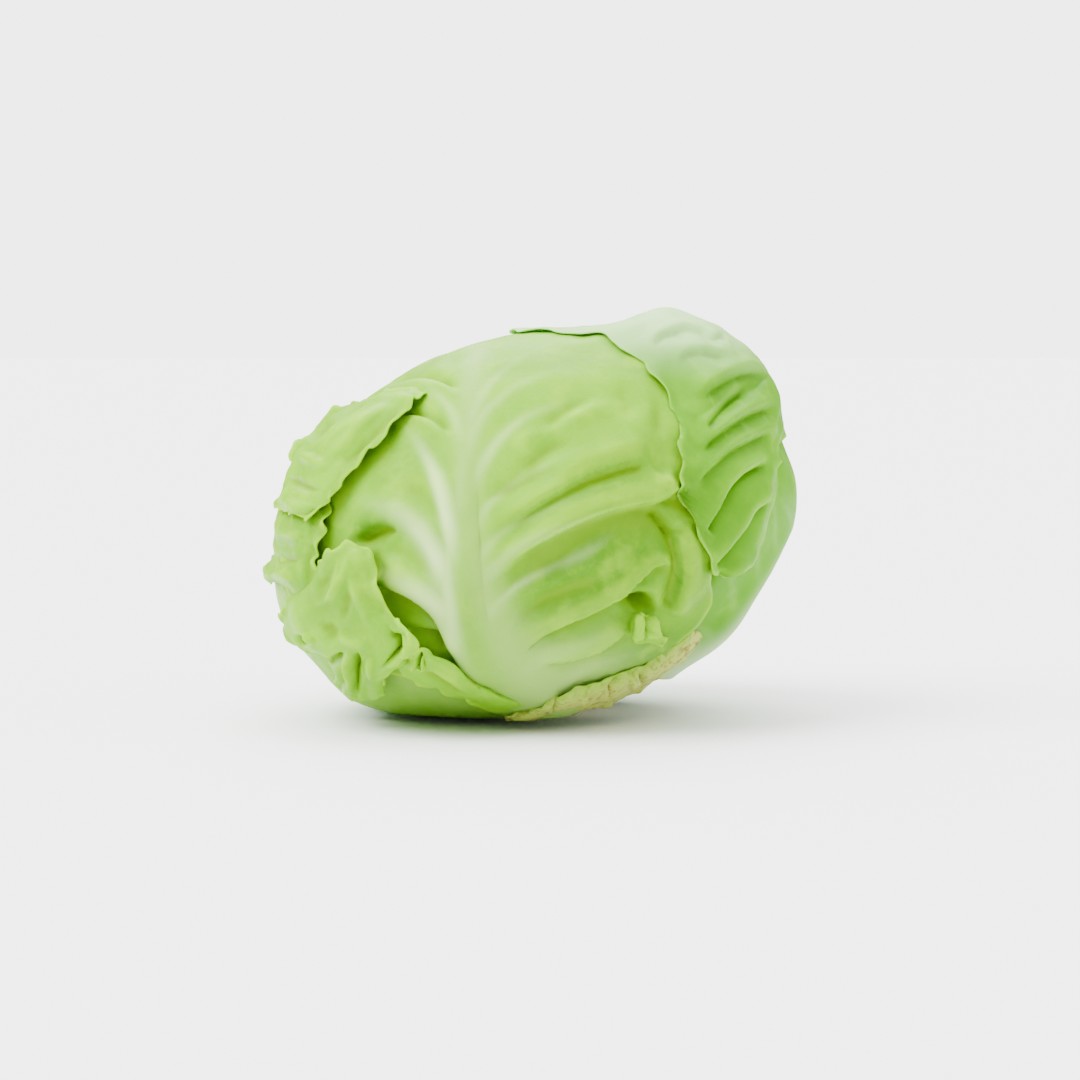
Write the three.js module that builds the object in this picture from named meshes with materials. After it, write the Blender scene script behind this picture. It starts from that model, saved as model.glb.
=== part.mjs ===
// A green cabbage: a packed oblate head on a cut stem, wrapped in six loose outer leaves.
// Millimetres, +Z up. The head leans to one side, so it lies on its lower leaves and the edge of its cut base.
import * as THREE from "three";

// Driving dimensions of the packed head, as half sizes along its own axes.
const HEAD = {
  longHalf: 80.5, // across, in the plane of the front view
  depthHalf: 76, // away from the viewer
  poleHalf: 56.5, // along the stem
  tiltDeg: 19.5, // the stem axis leans this far from upright
  centre: new THREE.Vector3(-3.9, -0.02, 60.9),
};
const LEAF_THICKNESS = 0.8;
const LAYER_STEP = 1.6; // from the middle of one leaf to the middle of the next one out
const STEM = { radius: 17.5, faceDrop: 58.3, sunk: 4, gap: 0.5, edge: 1, topEdge: 1.5, topDrop: 0.6, sides: 28 };

// The front view that the outlines are drawn in: 1080 pixels square, 3 pixels to a millimetre at the origin's depth.
const SIGHT = {
  distance: 1100,
  elevationDeg: 4,
  pixelsPerMm: 3,
  middle: [540, 540],
  originPixel: [536.6, 712],
};

const RAD = Math.PI / 180;
const clamp = (x, low, high) => Math.min(high, Math.max(low, x));
const mix = (a, b, t) => a + (b - a) * t;
const smooth = (low, high, x) => {
  const t = clamp((x - low) / (high - low), 0, 1);
  return t * t * (3 - 2 * t);
};

// Directions of the head's own axes and of the line of sight.
const acrossAxis = new THREE.Vector3(Math.cos(HEAD.tiltDeg * RAD), 0, Math.sin(HEAD.tiltDeg * RAD));
const depthAxis = new THREE.Vector3(0, 1, 0);
const poleAxis = new THREE.Vector3(-Math.sin(HEAD.tiltDeg * RAD), 0, Math.cos(HEAD.tiltDeg * RAD));
const headAxes = [acrossAxis, depthAxis, poleAxis];
const headHalves = [HEAD.longHalf, HEAD.depthHalf, HEAD.poleHalf];

const ahead = new THREE.Vector3(
  0,
  Math.cos(SIGHT.elevationDeg * RAD),
  -Math.sin(SIGHT.elevationDeg * RAD),
);
const upward = new THREE.Vector3(
  0,
  Math.sin(SIGHT.elevationDeg * RAD),
  Math.cos(SIGHT.elevationDeg * RAD),
);
const rightward = new THREE.Vector3(1, 0, 0);
const aim = new THREE.Vector3()
  .addScaledVector(rightward, (SIGHT.middle[0] - SIGHT.originPixel[0]) / SIGHT.pixelsPerMm)
  .addScaledVector(upward, (SIGHT.originPixel[1] - SIGHT.middle[1]) / SIGHT.pixelsPerMm);
const eye = aim.clone().addScaledVector(ahead, -SIGHT.distance);

// A place on the head is a unit vector in its axes, stretched to the ellipsoid, and a height above it.
function surfacePoint(place, height) {
  const point = HEAD.centre.clone();
  const normal = new THREE.Vector3();
  headAxes.forEach((axis, i) => {
    point.addScaledVector(axis, place.getComponent(i) * headHalves[i]);
    normal.addScaledVector(axis, place.getComponent(i) / headHalves[i]);
  });
  normal.normalize();
  return { point: point.addScaledVector(normal, height), normal };
}

// The pixel of the front view at which a point is seen.
function pixelOf(point) {
  const from = point.clone().sub(eye);
  const scale = (SIGHT.distance / from.dot(ahead)) * SIGHT.pixelsPerMm;
  return [
    SIGHT.middle[0] + from.dot(rightward) * scale,
    SIGHT.middle[1] - from.dot(upward) * scale,
  ];
}

// The place where the line of sight through a pixel meets the near side of a skin over the head.
function placeSeen(px, py, skin) {
  const line = ahead
    .clone()
    .multiplyScalar(SIGHT.distance)
    .addScaledVector(rightward, (px - SIGHT.middle[0]) / SIGHT.pixelsPerMm)
    .addScaledVector(upward, (SIGHT.middle[1] - py) / SIGHT.pixelsPerMm);
  const start = eye.clone().sub(HEAD.centre);
  const a = new THREE.Vector3();
  const b = new THREE.Vector3();
  headAxes.forEach((axis, i) => {
    const half = headHalves[i] + skin;
    a.setComponent(i, start.dot(axis) / half);
    b.setComponent(i, line.dot(axis) / half);
  });
  const reach = a.dot(b) / b.lengthSq();
  const inside = reach * reach - (a.lengthSq() - 1) / b.lengthSq();
  return a.addScaledVector(b, -reach - Math.sqrt(Math.max(0, inside))).normalize();
}
// A place by its bearing round the stem axis, 0 towards the viewer and 90 to the right, and its angle from the stem.
function around(bearingDeg, stemAngleDeg, lift = 0) {
  const bearing = bearingDeg * RAD;
  const angle = stemAngleDeg * RAD;
  const place = new THREE.Vector3(
    Math.sin(angle) * Math.sin(bearing),
    -Math.sin(angle) * Math.cos(bearing),
    -Math.cos(angle),
  );
  return { place, lift };
}

// Broad swellings of the head, each with its middle, its spread and its rise.
const SWELLINGS = [
  { place: placeSeen(740, 350, 5), spreadDeg: 22, rise: 9.5 },
  { place: around(85, 66).place, spreadDeg: 28, rise: 4.5 },
  { place: around(90, 74).place, spreadDeg: 15, rise: 4 },
  { place: placeSeen(672, 322, 5), spreadDeg: 9, rise: 3.6 },
  { place: placeSeen(598, 332, 5), spreadDeg: 10, rise: -2.8 },
  { place: placeSeen(735, 612, 5), spreadDeg: 15, rise: 2.2 },
  { place: placeSeen(345, 690, 5), spreadDeg: 11, rise: 1.8 },
];
function swellingField(place) {
  let rise = 0;
  for (const swelling of SWELLINGS) {
    const apart = Math.acos(clamp(place.dot(swelling.place), -1, 1)) / RAD;
    rise += swelling.rise * Math.exp(-((apart / swelling.spreadDeg) ** 2));
  }
  return rise;
}

// A place by the pixel at which the outer leaves show it, swellings and all.
const SIGHT_LAYER = 7.2;
const SIGHT_ROUNDS = 6;
function seen(px, py, lift = 0) {
  let place = placeSeen(px, py, SIGHT_LAYER);
  for (let round = 0; round < SIGHT_ROUNDS; round++)
    place = placeSeen(px, py, SIGHT_LAYER + swellingField(place));
  return { place, lift };
}

// A point on a rail of a leaf: a uniform Catmull-Rom spline through its stations.
function railPoint(rail, v) {
  const spans = rail.length - 1;
  const k = Math.min(Math.floor(v * spans), spans - 1);
  const f = v * spans - k;
  const weights = [
    0.5 * (-f + 2 * f * f - f * f * f),
    0.5 * (2 - 5 * f * f + 3 * f * f * f),
    0.5 * (f + 4 * f * f - 3 * f * f * f),
    0.5 * (-f * f + f * f * f),
  ];
  const place = new THREE.Vector3();
  let lift = 0;
  weights.forEach((weight, i) => {
    const station = rail[clamp(k - 1 + i, 0, spans)];
    place.addScaledVector(station.place, weight);
    lift += station.lift * weight;
  });
  return { place: place.normalize(), lift };
}

// Great-circle step from one place towards another, which may run past it.
function along(from, to, t) {
  const angle = Math.acos(clamp(from.dot(to), -1, 1));
  if (angle < 1e-6) return from.clone();
  return from
    .clone()
    .multiplyScalar(Math.sin((1 - t) * angle) / Math.sin(angle))
    .addScaledVector(to, Math.sin(t * angle) / Math.sin(angle))
    .normalize();
}
const arcLength = (a, b) =>
  surfacePoint(a, SIGHT_LAYER).point.distanceTo(surfacePoint(b, SIGHT_LAYER).point);

// Folds, ridges and hollows of the front, drawn as strokes in the front view. They carry through all the layers.
// Each has a path, how far it reaches to its left and right in pixels, and how far it rises in millimetres.
const STROKES = [
  // Front leaf, right half.
  { path: [[490, 532], [521, 517], [566, 495], [610, 476], [645, 468]], reach: [9, 9], rise: -2.3 },
  { path: [[490, 562], [545, 532], [590, 510], [640, 494], [672, 484]], reach: [13, 13], rise: 2.3 },
  { path: [[505, 590], [560, 558], [600, 538], [648, 526]], reach: [14, 16], rise: -2.4 },
  { path: [[564, 618], [595, 604], [626, 586], [650, 566]], reach: [13, 13], rise: 1.8 },
  { path: [[560, 633], [590, 624], [612, 612]], reach: [8, 8], rise: -1.8 },
  { path: [[622, 598], [643, 604], [662, 612]], reach: [11, 11], rise: -2.6 },
  { path: [[690, 520], [694, 560], [684, 600]], reach: [14, 14], rise: 1.4 },
  { path: [[560, 657], [600, 650], [630, 632]], reach: [8, 8], rise: -1.8 },
  { path: [[500, 500], [560, 474], [620, 452]], reach: [13, 13], rise: 1.3 },
  // Front leaf, left half.
  { path: [[455, 520], [438, 478], [420, 445], [403, 424]], reach: [9, 9], rise: 1.3 },
  { path: [[446, 590], [428, 543], [408, 514], [378, 498]], reach: [11, 11], rise: 1.6 },
  { path: [[365, 535], [385, 533]], reach: [12, 12], rise: -2.8 },
  { path: [[452, 624], [426, 607], [400, 585], [380, 570]], reach: [9, 9], rise: 1.4 },
  { path: [[440, 632], [412, 612], [392, 600]], reach: [9, 9], rise: -2.4 },
  { path: [[378, 398], [400, 388], [432, 384], [447, 392]], reach: [7, 7], rise: -1.6 },
  // Leaf over the top.
  { path: [[680, 396], [710, 383], [738, 371], [752, 369]], reach: [10, 10], rise: 1.9 },
  { path: [[707, 434], [720, 415], [731, 400]], reach: [10, 10], rise: -1.8 },
  { path: [[713, 443], [732, 429], [752, 415], [770, 403]], reach: [10, 10], rise: 1.5 },
  { path: [[697, 533], [711, 511], [724, 488], [742, 470]], reach: [8, 8], rise: -1.7 },
  { path: [[712, 556], [732, 538], [744, 520], [757, 503]], reach: [8, 8], rise: -1.7 },
];
const LEAST_REACH = 20; // pixels
const END_SHARE = 0.35; // of a stroke's rise, at its ends
const SHOWN = [0.05, 0.3]; // strokes fade out where the surface turns this far from the line of sight

function strokeField(place) {
  const { point, normal } = surfacePoint(place, SIGHT_LAYER + swellingField(place));
  const facing = -normal.dot(point.clone().sub(eye).normalize());
  const shown = smooth(SHOWN[0], SHOWN[1], facing);
  if (shown === 0) return 0;
  const [px, py] = pixelOf(point);
  let rise = 0;
  for (const stroke of STROKES) rise += stroke.rise * strokeShare(stroke, px, py);
  return rise * shown;
}

// How much of a stroke a pixel has: 1 on its path, fading to both sides and towards its ends.
function strokeShare({ path, reach }, px, py) {
  let best = { distance: Infinity, side: 1, t: 0 };
  path.slice(1).forEach((end, i) => {
    const [ax, ay] = path[i];
    const dx = end[0] - ax;
    const dy = end[1] - ay;
    const raw = ((px - ax) * dx + (py - ay) * dy) / (dx * dx + dy * dy);
    const f = clamp(raw, 0, 1);
    const distance = Math.hypot(px - ax - f * dx, py - ay - f * dy);
    if (distance < best.distance)
      best = { distance, side: (px - ax) * dy - (py - ay) * dx, t: (i + f) / (path.length - 1) };
  });
  const width = Math.max(LEAST_REACH, best.side > 0 ? reach[0] : reach[1]);
  return Math.exp(-((best.distance / width) ** 2)) * mix(END_SHARE, 1, Math.sin(Math.PI * best.t));
}

// The underside is pressed flat where the head lies on the surface: on its lower leaf, and in front on the front leaf.
const PRESS = { lowerSkin: 3.9, frontSkin: 7.1, from: 0.12, to: 0.32, softness: 0.6, facing: -0.3 };
function pressField(place) {
  const skin = mix(PRESS.lowerSkin, PRESS.frontSkin, smooth(PRESS.from, PRESS.to, -place.y));
  const { point, normal } = surfacePoint(place, skin);
  if (normal.z > PRESS.facing) return 0;
  const depth = PRESS.softness * Math.log1p(Math.exp(-point.z / PRESS.softness));
  return depth / normal.z;
}

const carried = (place) => strokeField(place) + swellingField(place) + pressField(place);

// Keeps the middle of a leaf clear of the surface that the head lies on.
const FLOOR_SOFTNESS = 0.4;
function aboveSurface(point) {
  const least = LEAF_THICKNESS / 2;
  point.z = least + FLOOR_SOFTNESS * Math.log1p(Math.exp((point.z - least) / FLOOR_SOFTNESS));
  return point;
}

// Makes one closed solid from a grid of middle points: an outer and an inner face, split alike, and a rim.
function sheetGeometry(rows, columns, middle, outerHalf, innerHalf) {
  const grid = [];
  for (let j = 0; j <= rows; j++)
    for (let i = 0; i <= columns; i++) grid.push(middle(i / columns, j / rows));
  const at = (i, j) => grid[clamp(j, 0, rows) * (columns + 1) + clamp(i, 0, columns)];
  const outer = [];
  const inner = [];
  for (let j = 0; j <= rows; j++)
    for (let i = 0; i <= columns; i++) {
      const acrossStep = at(i + 1, j).clone().sub(at(i - 1, j));
      const alongStep = at(i, j + 1).clone().sub(at(i, j - 1));
      const normal = alongStep.cross(acrossStep).normalize();
      const skin = at(i, j).clone().addScaledVector(normal, outerHalf(i / columns, j / rows));
      skin.z = Math.max(skin.z, 0);
      outer.push(skin);
      inner.push(at(i, j).clone().addScaledVector(normal, -innerHalf));
    }
  return closedSheet(rows, columns, outer, inner);
}

function closedSheet(rows, columns, outer, inner) {
  const points = [...outer, ...inner];
  const shift = outer.length;
  const index = [];
  const id = (i, j) => j * (columns + 1) + i;
  for (let j = 0; j < rows; j++)
    for (let i = 0; i < columns; i++) {
      const [a, b, c, d] = [id(i, j), id(i + 1, j), id(i + 1, j + 1), id(i, j + 1)];
      index.push(a, c, b, a, d, c);
      index.push(a + shift, b + shift, c + shift, a + shift, c + shift, d + shift);
    }
  const rim = [];
  for (let i = 0; i < columns; i++) rim.push(id(i, 0));
  for (let j = 0; j < rows; j++) rim.push(id(columns, j));
  for (let i = columns; i > 0; i--) rim.push(id(i, rows));
  for (let j = rows; j > 0; j--) rim.push(id(0, j));
  rim.forEach((p, k) => {
    const q = rim[(k + 1) % rim.length];
    index.push(p, q + shift, p + shift, p, q, q + shift);
  });
  return indexedGeometry(points, index);
}

function indexedGeometry(points, index) {
  const geometry = new THREE.BufferGeometry();
  const numbers = points.flatMap((point) => point.toArray());
  geometry.setAttribute("position", new THREE.Float32BufferAttribute(numbers, 3));
  geometry.setIndex(index);
  geometry.computeVertexNormals();
  return geometry;
}

// A leaf is a sheet over rails, which it passes from its right side to its left as seen from outside.
// A leaf with a turned margin rolls over at its last rail and lies back towards its free edge.
const RIB = { rise: 4.0, baseHalf: 16, middleHalf: 8, tipHalf: 3.5, flare: 0.3 }; // flare is a share of its length
const VEIN = { rise: 0.9, spacing: 17, lean: 0.45, from: 6, full: 18, border: 0.3 }; // side ribs, along the midrib
const CROWDING = 1.4; // how much closer the grid's lines run near the midrib than near a margin
const ROLL = { radius: 2.6, span: 0.22, most: 0.35 }; // most of the turned width that its radius may take
const FRILL = { rise: 1.3, waves: 6.5 }; // of a turned margin's free edge
const WAVE = { rise: 0.8, waves: 8, reach: 0.25 }; // of a plain margin that no leaf covers
const RIB_STEPS = 40;

function leafGeometry(leaf) {
  const layer = leaf.layer * LAYER_STEP;
  const bands = leaf.rails.length - 1;
  const spread = leaf.freeEdge ? bands + 1 : bands;

  function middle(u, v) {
    const across = u * spread;
    if (across <= bands) return bladePoint(across, v);
    return turnedPoint(across - bands, v);
  }

  // Where the middle rail is the midrib, the grid crowds towards it.
  function bladePlace(across, v) {
    const band = Math.min(Math.floor(across), bands - 1);
    let share = across - band;
    if (leaf.rails[1] === leaf.midrib) share = band === 0 ? 1 - (1 - share) ** CROWDING : share ** CROWDING;
    return along(railPoint(leaf.rails[band], v).place, railPoint(leaf.rails[band + 1], v).place, share);
  }
  function bladePoint(across, v) {
    const place = bladePlace(across, v);
    const lift = railPoint(leaf.rails[bands], v).lift * clamp(across - bands + 1, 0, 1) ** 3;
    const inside = Math.min(across, bands - across, 2 * v, 2 - 2 * v);
    const crest = 1 - Math.cos(2 * Math.PI * WAVE.waves * v);
    const wave = leaf.waviness * WAVE.rise * crest * smooth(WAVE.reach, 0, inside);
    return aboveSurface(surfacePoint(place, layer + carried(place) + lift + wave).point);
  }

  function turnedPoint(past, v) {
    const inner = railPoint(leaf.rails[bands - 1], v);
    const margin = railPoint(leaf.rails[bands], v);
    const edge = railPoint(leaf.freeEdge, v);
    const radius = Math.min(ROLL.radius, ROLL.most * arcLength(margin.place, edge.place));
    const turn = clamp(past / ROLL.span, 0, 1) * Math.PI;
    const beyond = (radius * Math.sin(turn)) / arcLength(inner.place, margin.place);
    const rollPlace = along(inner.place, margin.place, 1 + beyond);
    const rollHeight = layer + carried(margin.place) + margin.lift + radius * (1 - Math.cos(turn));
    if (past <= ROLL.span) return aboveSurface(surfacePoint(rollPlace, rollHeight).point);
    const t = (past - ROLL.span) / (1 - ROLL.span);
    const place = along(margin.place, edge.place, t);
    const frill = FRILL.rise * Math.sin(2 * Math.PI * FRILL.waves * v) * t;
    const height = mix(rollHeight, layer + carried(place) + edge.lift, t) + frill;
    return aboveSurface(surfacePoint(place, height).point);
  }

  // The midrib and its side ribs stand out of the leaf's outer side.
  const ribSteps = [];
  for (let k = 0; k <= RIB_STEPS; k++) ribSteps.push(railPoint(leaf.midrib, k / RIB_STEPS).place);
  const ribLength = ribSteps.slice(1).reduce((sum, place, k) => sum + arcLength(ribSteps[k], place), 0);
  function outerHalf(u, v) {
    const across = u * spread;
    const half = LEAF_THICKNESS / 2;
    if (across >= bands) return half;
    const place = bladePlace(across, v);
    let distance = Infinity;
    let nearest = 0;
    ribSteps.forEach((step, k) => {
      const apart = arcLength(step, place);
      if (apart < distance) [distance, nearest] = [apart, k / RIB_STEPS];
    });
    const narrowing = mix(RIB.middleHalf, RIB.tipHalf, nearest);
    const ribHalf = mix(RIB.baseHalf, narrowing, smooth(0, RIB.flare, nearest));
    const rib = RIB.rise * (1 - nearest) * Math.exp(-((distance / ribHalf) ** 2));
    const wave = Math.cos(((nearest * ribLength - VEIN.lean * distance) / VEIN.spacing) * 2 * Math.PI);
    const inside = Math.min(across, bands - across, 3 * v, 3 - 3 * v);
    const shown = smooth(VEIN.from, VEIN.full, distance) * smooth(0, VEIN.border, inside);
    return half + rib * leaf.ribScale + VEIN.rise * Math.max(0, wave) * shown * leaf.veinScale;
  }
  return sheetGeometry(leaf.rows, leaf.columns, middle, outerHalf, LEAF_THICKNESS / 2);
}

const LEAVES = [
  {
    name: "leaf_front",
    layer: 4.2,
    ribScale: 1,
    veinScale: 1,
    waviness: 0,
    rows: 36,
    columns: 39,
    midrib: [
      seen(588, 704), seen(540, 680), seen(504, 632), seen(484, 585), seen(475, 540),
      seen(471, 495), seen(470, 450), seen(471, 410), seen(473, 375), seen(476, 347),
      around(190, 172), around(188, 160),
    ],
    right: [
      seen(650, 684), seen(660, 662), seen(678, 643), seen(700, 622), seen(713, 598),
      seen(710, 560), seen(703, 518), seen(704, 470), seen(702, 420), seen(685, 375),
      around(80, 148), around(122, 148),
    ],
    left: [
      seen(516, 718), seen(480, 706), seen(440, 690), seen(398, 674), seen(346, 660),
      seen(310, 636), seen(292, 602, 0.5), seen(282, 556, 0.5), seen(292, 490), seen(316, 441),
      seen(368, 396), seen(430, 374),
    ],
    freeEdge: [
      seen(524, 716, 1), seen(502, 704, 3), seen(472, 681, 5), seen(440, 657, 7), seen(410, 640, 9),
      seen(390, 605, 10), seen(366, 552, 9), seen(322, 552, 7), seen(334, 498, 7), seen(368, 452, 7),
      seen(402, 412, 5), seen(438, 384, 3),
    ],
  },
  {
    name: "leaf_over_top",
    layer: 5.4,
    ribScale: 1,
    veinScale: 1,
    waviness: 1,
    rows: 40,
    columns: 26,
    midrib: [
      around(152, 17), around(150, 40), around(148, 65), around(147, 90), around(148, 115),
      around(152, 138), around(165, 156),
    ],
    upper: [
      around(222, 132), around(222, 138), around(220, 144), around(217, 150), around(212, 156),
      around(203, 162), around(182, 168), seen(490, 334), seen(520, 332), seen(550, 333),
      seen(578, 336), seen(602, 340), seen(622, 350), seen(638, 362), seen(651, 376),
      seen(662, 389), seen(669, 402), seen(675, 414), seen(681, 424), seen(680, 436),
    ],
    spine: [
      around(218, 122), around(214, 110), around(207, 98), around(197, 90), around(183, 86),
      around(167, 86), around(150, 88), around(132, 92), around(116, 98), around(102, 105),
      around(91, 112), seen(735, 372), seen(738, 398), seen(735, 425), seen(728, 450),
      seen(718, 470), seen(708, 480), seen(699, 480), seen(688, 474), seen(676, 460),
    ],
    lower: [
      around(213, 112), around(209, 86), around(204, 60), around(194, 34), around(172, 17),
      around(142, 17), around(126, 30), around(116, 48), around(108, 64), around(103, 80),
      around(98, 94), seen(779, 462), seen(776, 498), seen(766, 530), seen(754, 552),
      seen(738, 568), seen(718, 572), seen(704, 558), seen(694, 532), seen(678, 488),
    ],
  },
  {
    name: "leaf_right",
    layer: 2,
    ribScale: 0.75,
    veinScale: 0.3,
    waviness: 0,
    rows: 16,
    columns: 16,
    midrib: [
      around(66, 17), seen(716, 642), seen(756, 598), seen(784, 552), seen(802, 500),
      around(88, 110), around(88, 128), around(88, 144),
    ],
    right: [
      around(100, 17), around(122, 36), around(132, 58), around(134, 80), around(134, 102),
      around(132, 122), around(126, 138), around(110, 148),
    ],
    left: [
      around(36, 17), seen(640, 640), seen(650, 590), seen(655, 540), seen(655, 490),
      seen(660, 440), seen(670, 395), seen(700, 360),
    ],
  },
  {
    name: "leaf_left",
    layer: 1.9,
    ribScale: 0.55,
    veinScale: 0.2,
    waviness: 0,
    rows: 18,
    columns: 18,
    midrib: [
      around(268, 17), around(268, 34), around(267, 52), around(266, 70), around(265, 88),
      around(264, 106), around(262, 124), around(258, 140),
    ],
    right: [
      around(298, 17), around(318, 34), around(328, 52), around(328, 70), around(326, 88),
      around(322, 106), around(312, 124), around(290, 138),
    ],
    left: [
      around(232, 17), around(222, 34), around(214, 52), around(210, 70), around(208, 88),
      around(208, 106), around(214, 124), around(228, 138),
    ],
  },
  {
    name: "leaf_under",
    layer: 2.9,
    ribScale: 0.1,
    veinScale: 0.1,
    waviness: 0,
    rows: 14,
    columns: 14,
    midrib: [
      around(330, 17), around(326, 32), around(322, 48), around(318, 64), around(314, 80),
      around(310, 96), around(306, 112), around(300, 128),
    ],
    right: [
      around(352, 17), around(358, 32), around(358, 48), around(356, 64), around(352, 80),
      around(346, 96), around(338, 112), around(320, 126),
    ],
    left: [
      around(322, 17), around(304, 32), around(290, 48), around(284, 64), around(280, 80),
      around(277, 96), around(277, 112), around(283, 126),
    ],
  },
  {
    name: "leaf_back",
    layer: 1,
    ribScale: 0.55,
    veinScale: 0.15,
    waviness: 0,
    rows: 16,
    columns: 14,
    midrib: [
      around(190, 17), around(190, 38), around(191, 60), around(192, 82), around(193, 104),
      around(194, 126), around(196, 146), around(200, 164),
    ],
    right: [
      around(222, 17), around(238, 38), around(246, 60), around(250, 82), around(252, 104),
      around(254, 126), around(256, 144), around(250, 158),
    ],
    left: [
      around(170, 17), around(154, 38), around(146, 60), around(142, 82), around(140, 104),
      around(138, 126), around(136, 144), around(145, 158),
    ],
  },
];

// The packed inner leaves, which the outer leaves hide. Their underside has a shallow socket for the stem.
// Each inner leaf laps over the next in a spiral, with a low step along its margin.
const PACKED = { rings: 20, sides: 36, inset: 0.7, step: 0.9, leaves: 6, twist: 0.7, socketRim: [14, 16] };
function packedHeadGeometry() {
  const [socketEdge, socketTop] = PACKED.socketRim;
  const stemAngles = [socketEdge / 2, socketEdge, socketTop];
  for (let k = 1; k < PACKED.rings; k++)
    stemAngles.push(mix(socketTop, 180, k / PACKED.rings));
  const skinPoint = (bearing, stemAngle) => {
    const { place } = around(bearing, stemAngle);
    const sunk = (STEM.sunk + STEM.gap) * smooth(socketTop, socketEdge, stemAngle);
    const lap = ((bearing + PACKED.twist * stemAngle) / 360) * PACKED.leaves;
    const step = PACKED.step * (lap - Math.floor(lap)) * Math.sin(stemAngle * RAD);
    return surfacePoint(place, carried(place) - PACKED.inset - sunk - step).point;
  };
  const points = [skinPoint(0, 0)];
  for (const stemAngle of stemAngles)
    for (let k = 0; k < PACKED.sides; k++) points.push(skinPoint((k / PACKED.sides) * 360, stemAngle));
  points.push(skinPoint(0, 180));

  const index = [];
  const last = points.length - 1;
  for (let k = 0; k < PACKED.sides; k++) {
    const next = (k + 1) % PACKED.sides;
    index.push(0, 1 + next, 1 + k);
    index.push(last, last - PACKED.sides + k, last - PACKED.sides + next);
    for (let ring = 0; ring < stemAngles.length - 1; ring++) {
      const low = 1 + ring * PACKED.sides;
      const high = low + PACKED.sides;
      index.push(low + k, low + next, high + next, low + k, high + next, high + k);
    }
  }
  return indexedGeometry(points, index);
}

// The cut stem: a short stub under the head, with a slightly rounded edge to its cut face.
function stemGeometry() {
  const top = STEM.sunk - HEAD.poleHalf;
  const r = STEM.radius;
  const profile = [
    [0, -STEM.faceDrop], [r - STEM.edge, -STEM.faceDrop], [r, -STEM.faceDrop + STEM.edge],
    [r, top - 2 * STEM.topDrop], [r - STEM.topEdge, top - STEM.topDrop], [0, top],
  ].map(([x, y]) => new THREE.Vector2(x, y));
  return new THREE.LatheGeometry(profile, STEM.sides);
}

const material = (color, roughness) => new THREE.MeshStandardMaterial({ color, roughness, metalness: 0 });
const outerGreen = material("#b4cf7e", 0.5);
const deepGreen = material("#96b867", 0.5);
const innerPale = material("#dbe6b4", 0.55);
const stemWhite = material("#dfe3bd", 0.7);

const cabbage = new THREE.Group();
function add(name, geometry, finish) {
  const mesh = new THREE.Mesh(geometry, finish);
  mesh.name = name;
  cabbage.add(mesh);
  return mesh;
}

add("packed_head", packedHeadGeometry(), innerPale);
const stem = add("cut_stem", stemGeometry(), stemWhite);
stem.position.copy(HEAD.centre);
stem.quaternion.setFromUnitVectors(new THREE.Vector3(0, 1, 0), poleAxis);
for (const leaf of LEAVES) {
  leaf.rails = leaf.spine ? [leaf.upper, leaf.spine, leaf.lower] : [leaf.right, leaf.midrib, leaf.left];
  add(leaf.name, leafGeometry(leaf), leaf.name === "leaf_front" ? outerGreen : deepGreen);
}

export default cabbage;
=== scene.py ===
import math

import bpy
import numpy as np
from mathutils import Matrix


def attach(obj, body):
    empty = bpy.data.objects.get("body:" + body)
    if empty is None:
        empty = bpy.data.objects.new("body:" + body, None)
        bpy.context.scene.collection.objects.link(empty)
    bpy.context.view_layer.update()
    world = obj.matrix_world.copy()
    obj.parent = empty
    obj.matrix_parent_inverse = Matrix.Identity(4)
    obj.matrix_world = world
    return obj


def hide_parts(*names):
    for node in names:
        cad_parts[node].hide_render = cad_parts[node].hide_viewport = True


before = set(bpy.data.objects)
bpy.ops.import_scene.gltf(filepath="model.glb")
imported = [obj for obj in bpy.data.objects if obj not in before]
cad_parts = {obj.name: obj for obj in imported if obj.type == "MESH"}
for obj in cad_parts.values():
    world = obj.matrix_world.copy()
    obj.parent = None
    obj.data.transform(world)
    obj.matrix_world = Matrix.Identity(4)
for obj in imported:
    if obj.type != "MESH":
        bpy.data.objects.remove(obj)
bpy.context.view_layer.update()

# Everything is drawn in millimetres and scaled to metres when its mesh is made.
MM = 0.001

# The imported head: half sizes along its own axes, its lean and its middle, as in the frame.
HEAD_HALVES = np.array([80.5, 76.0, 56.5])
HEAD_LEAN = math.radians(19.5)
HEAD_MIDDLE = np.array([-3.9, -0.02, 60.9])
HEAD_AXES = np.array([
    [math.cos(HEAD_LEAN), 0, math.sin(HEAD_LEAN)],
    [0, 1, 0],
    [-math.sin(HEAD_LEAN), 0, math.cos(HEAD_LEAN)],
])
LAYER_STEP = 1.6
LEAF_HALF = 0.42
RIM_SHARE = 0.55  # of a leaf's thickness, at its margin
LEAF_MARGIN, NET_MARGIN = 3.0, 2.0

# The front view: 1080 pixels square, 3 pixels to a millimetre at the origin's depth.
SIGHT_DISTANCE = 1100
SIGHT_ELEVATION = math.radians(4)
PIXELS_PER_MM = 3
VIEW_PIXELS = 1080
ORIGIN_PIXEL = (536.6, 712)
MARK_SKIN = 5  # height over the head at which swellings and tints are placed
SIGHT_LAYER = 7.2  # height of the outer leaves
SIGHT_ROUNDS = 6
AHEAD = np.array([0, math.cos(SIGHT_ELEVATION), -math.sin(SIGHT_ELEVATION)])
UPWARD = np.array([0, math.sin(SIGHT_ELEVATION), math.cos(SIGHT_ELEVATION)])
RIGHTWARD = np.array([1.0, 0, 0])
MIDDLE_PIXEL = VIEW_PIXELS / 2
AIM = (
    RIGHTWARD * (MIDDLE_PIXEL - ORIGIN_PIXEL[0]) / PIXELS_PER_MM
    + UPWARD * (ORIGIN_PIXEL[1] - MIDDLE_PIXEL) / PIXELS_PER_MM
)
EYE = AIM - AHEAD * SIGHT_DISTANCE


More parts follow.
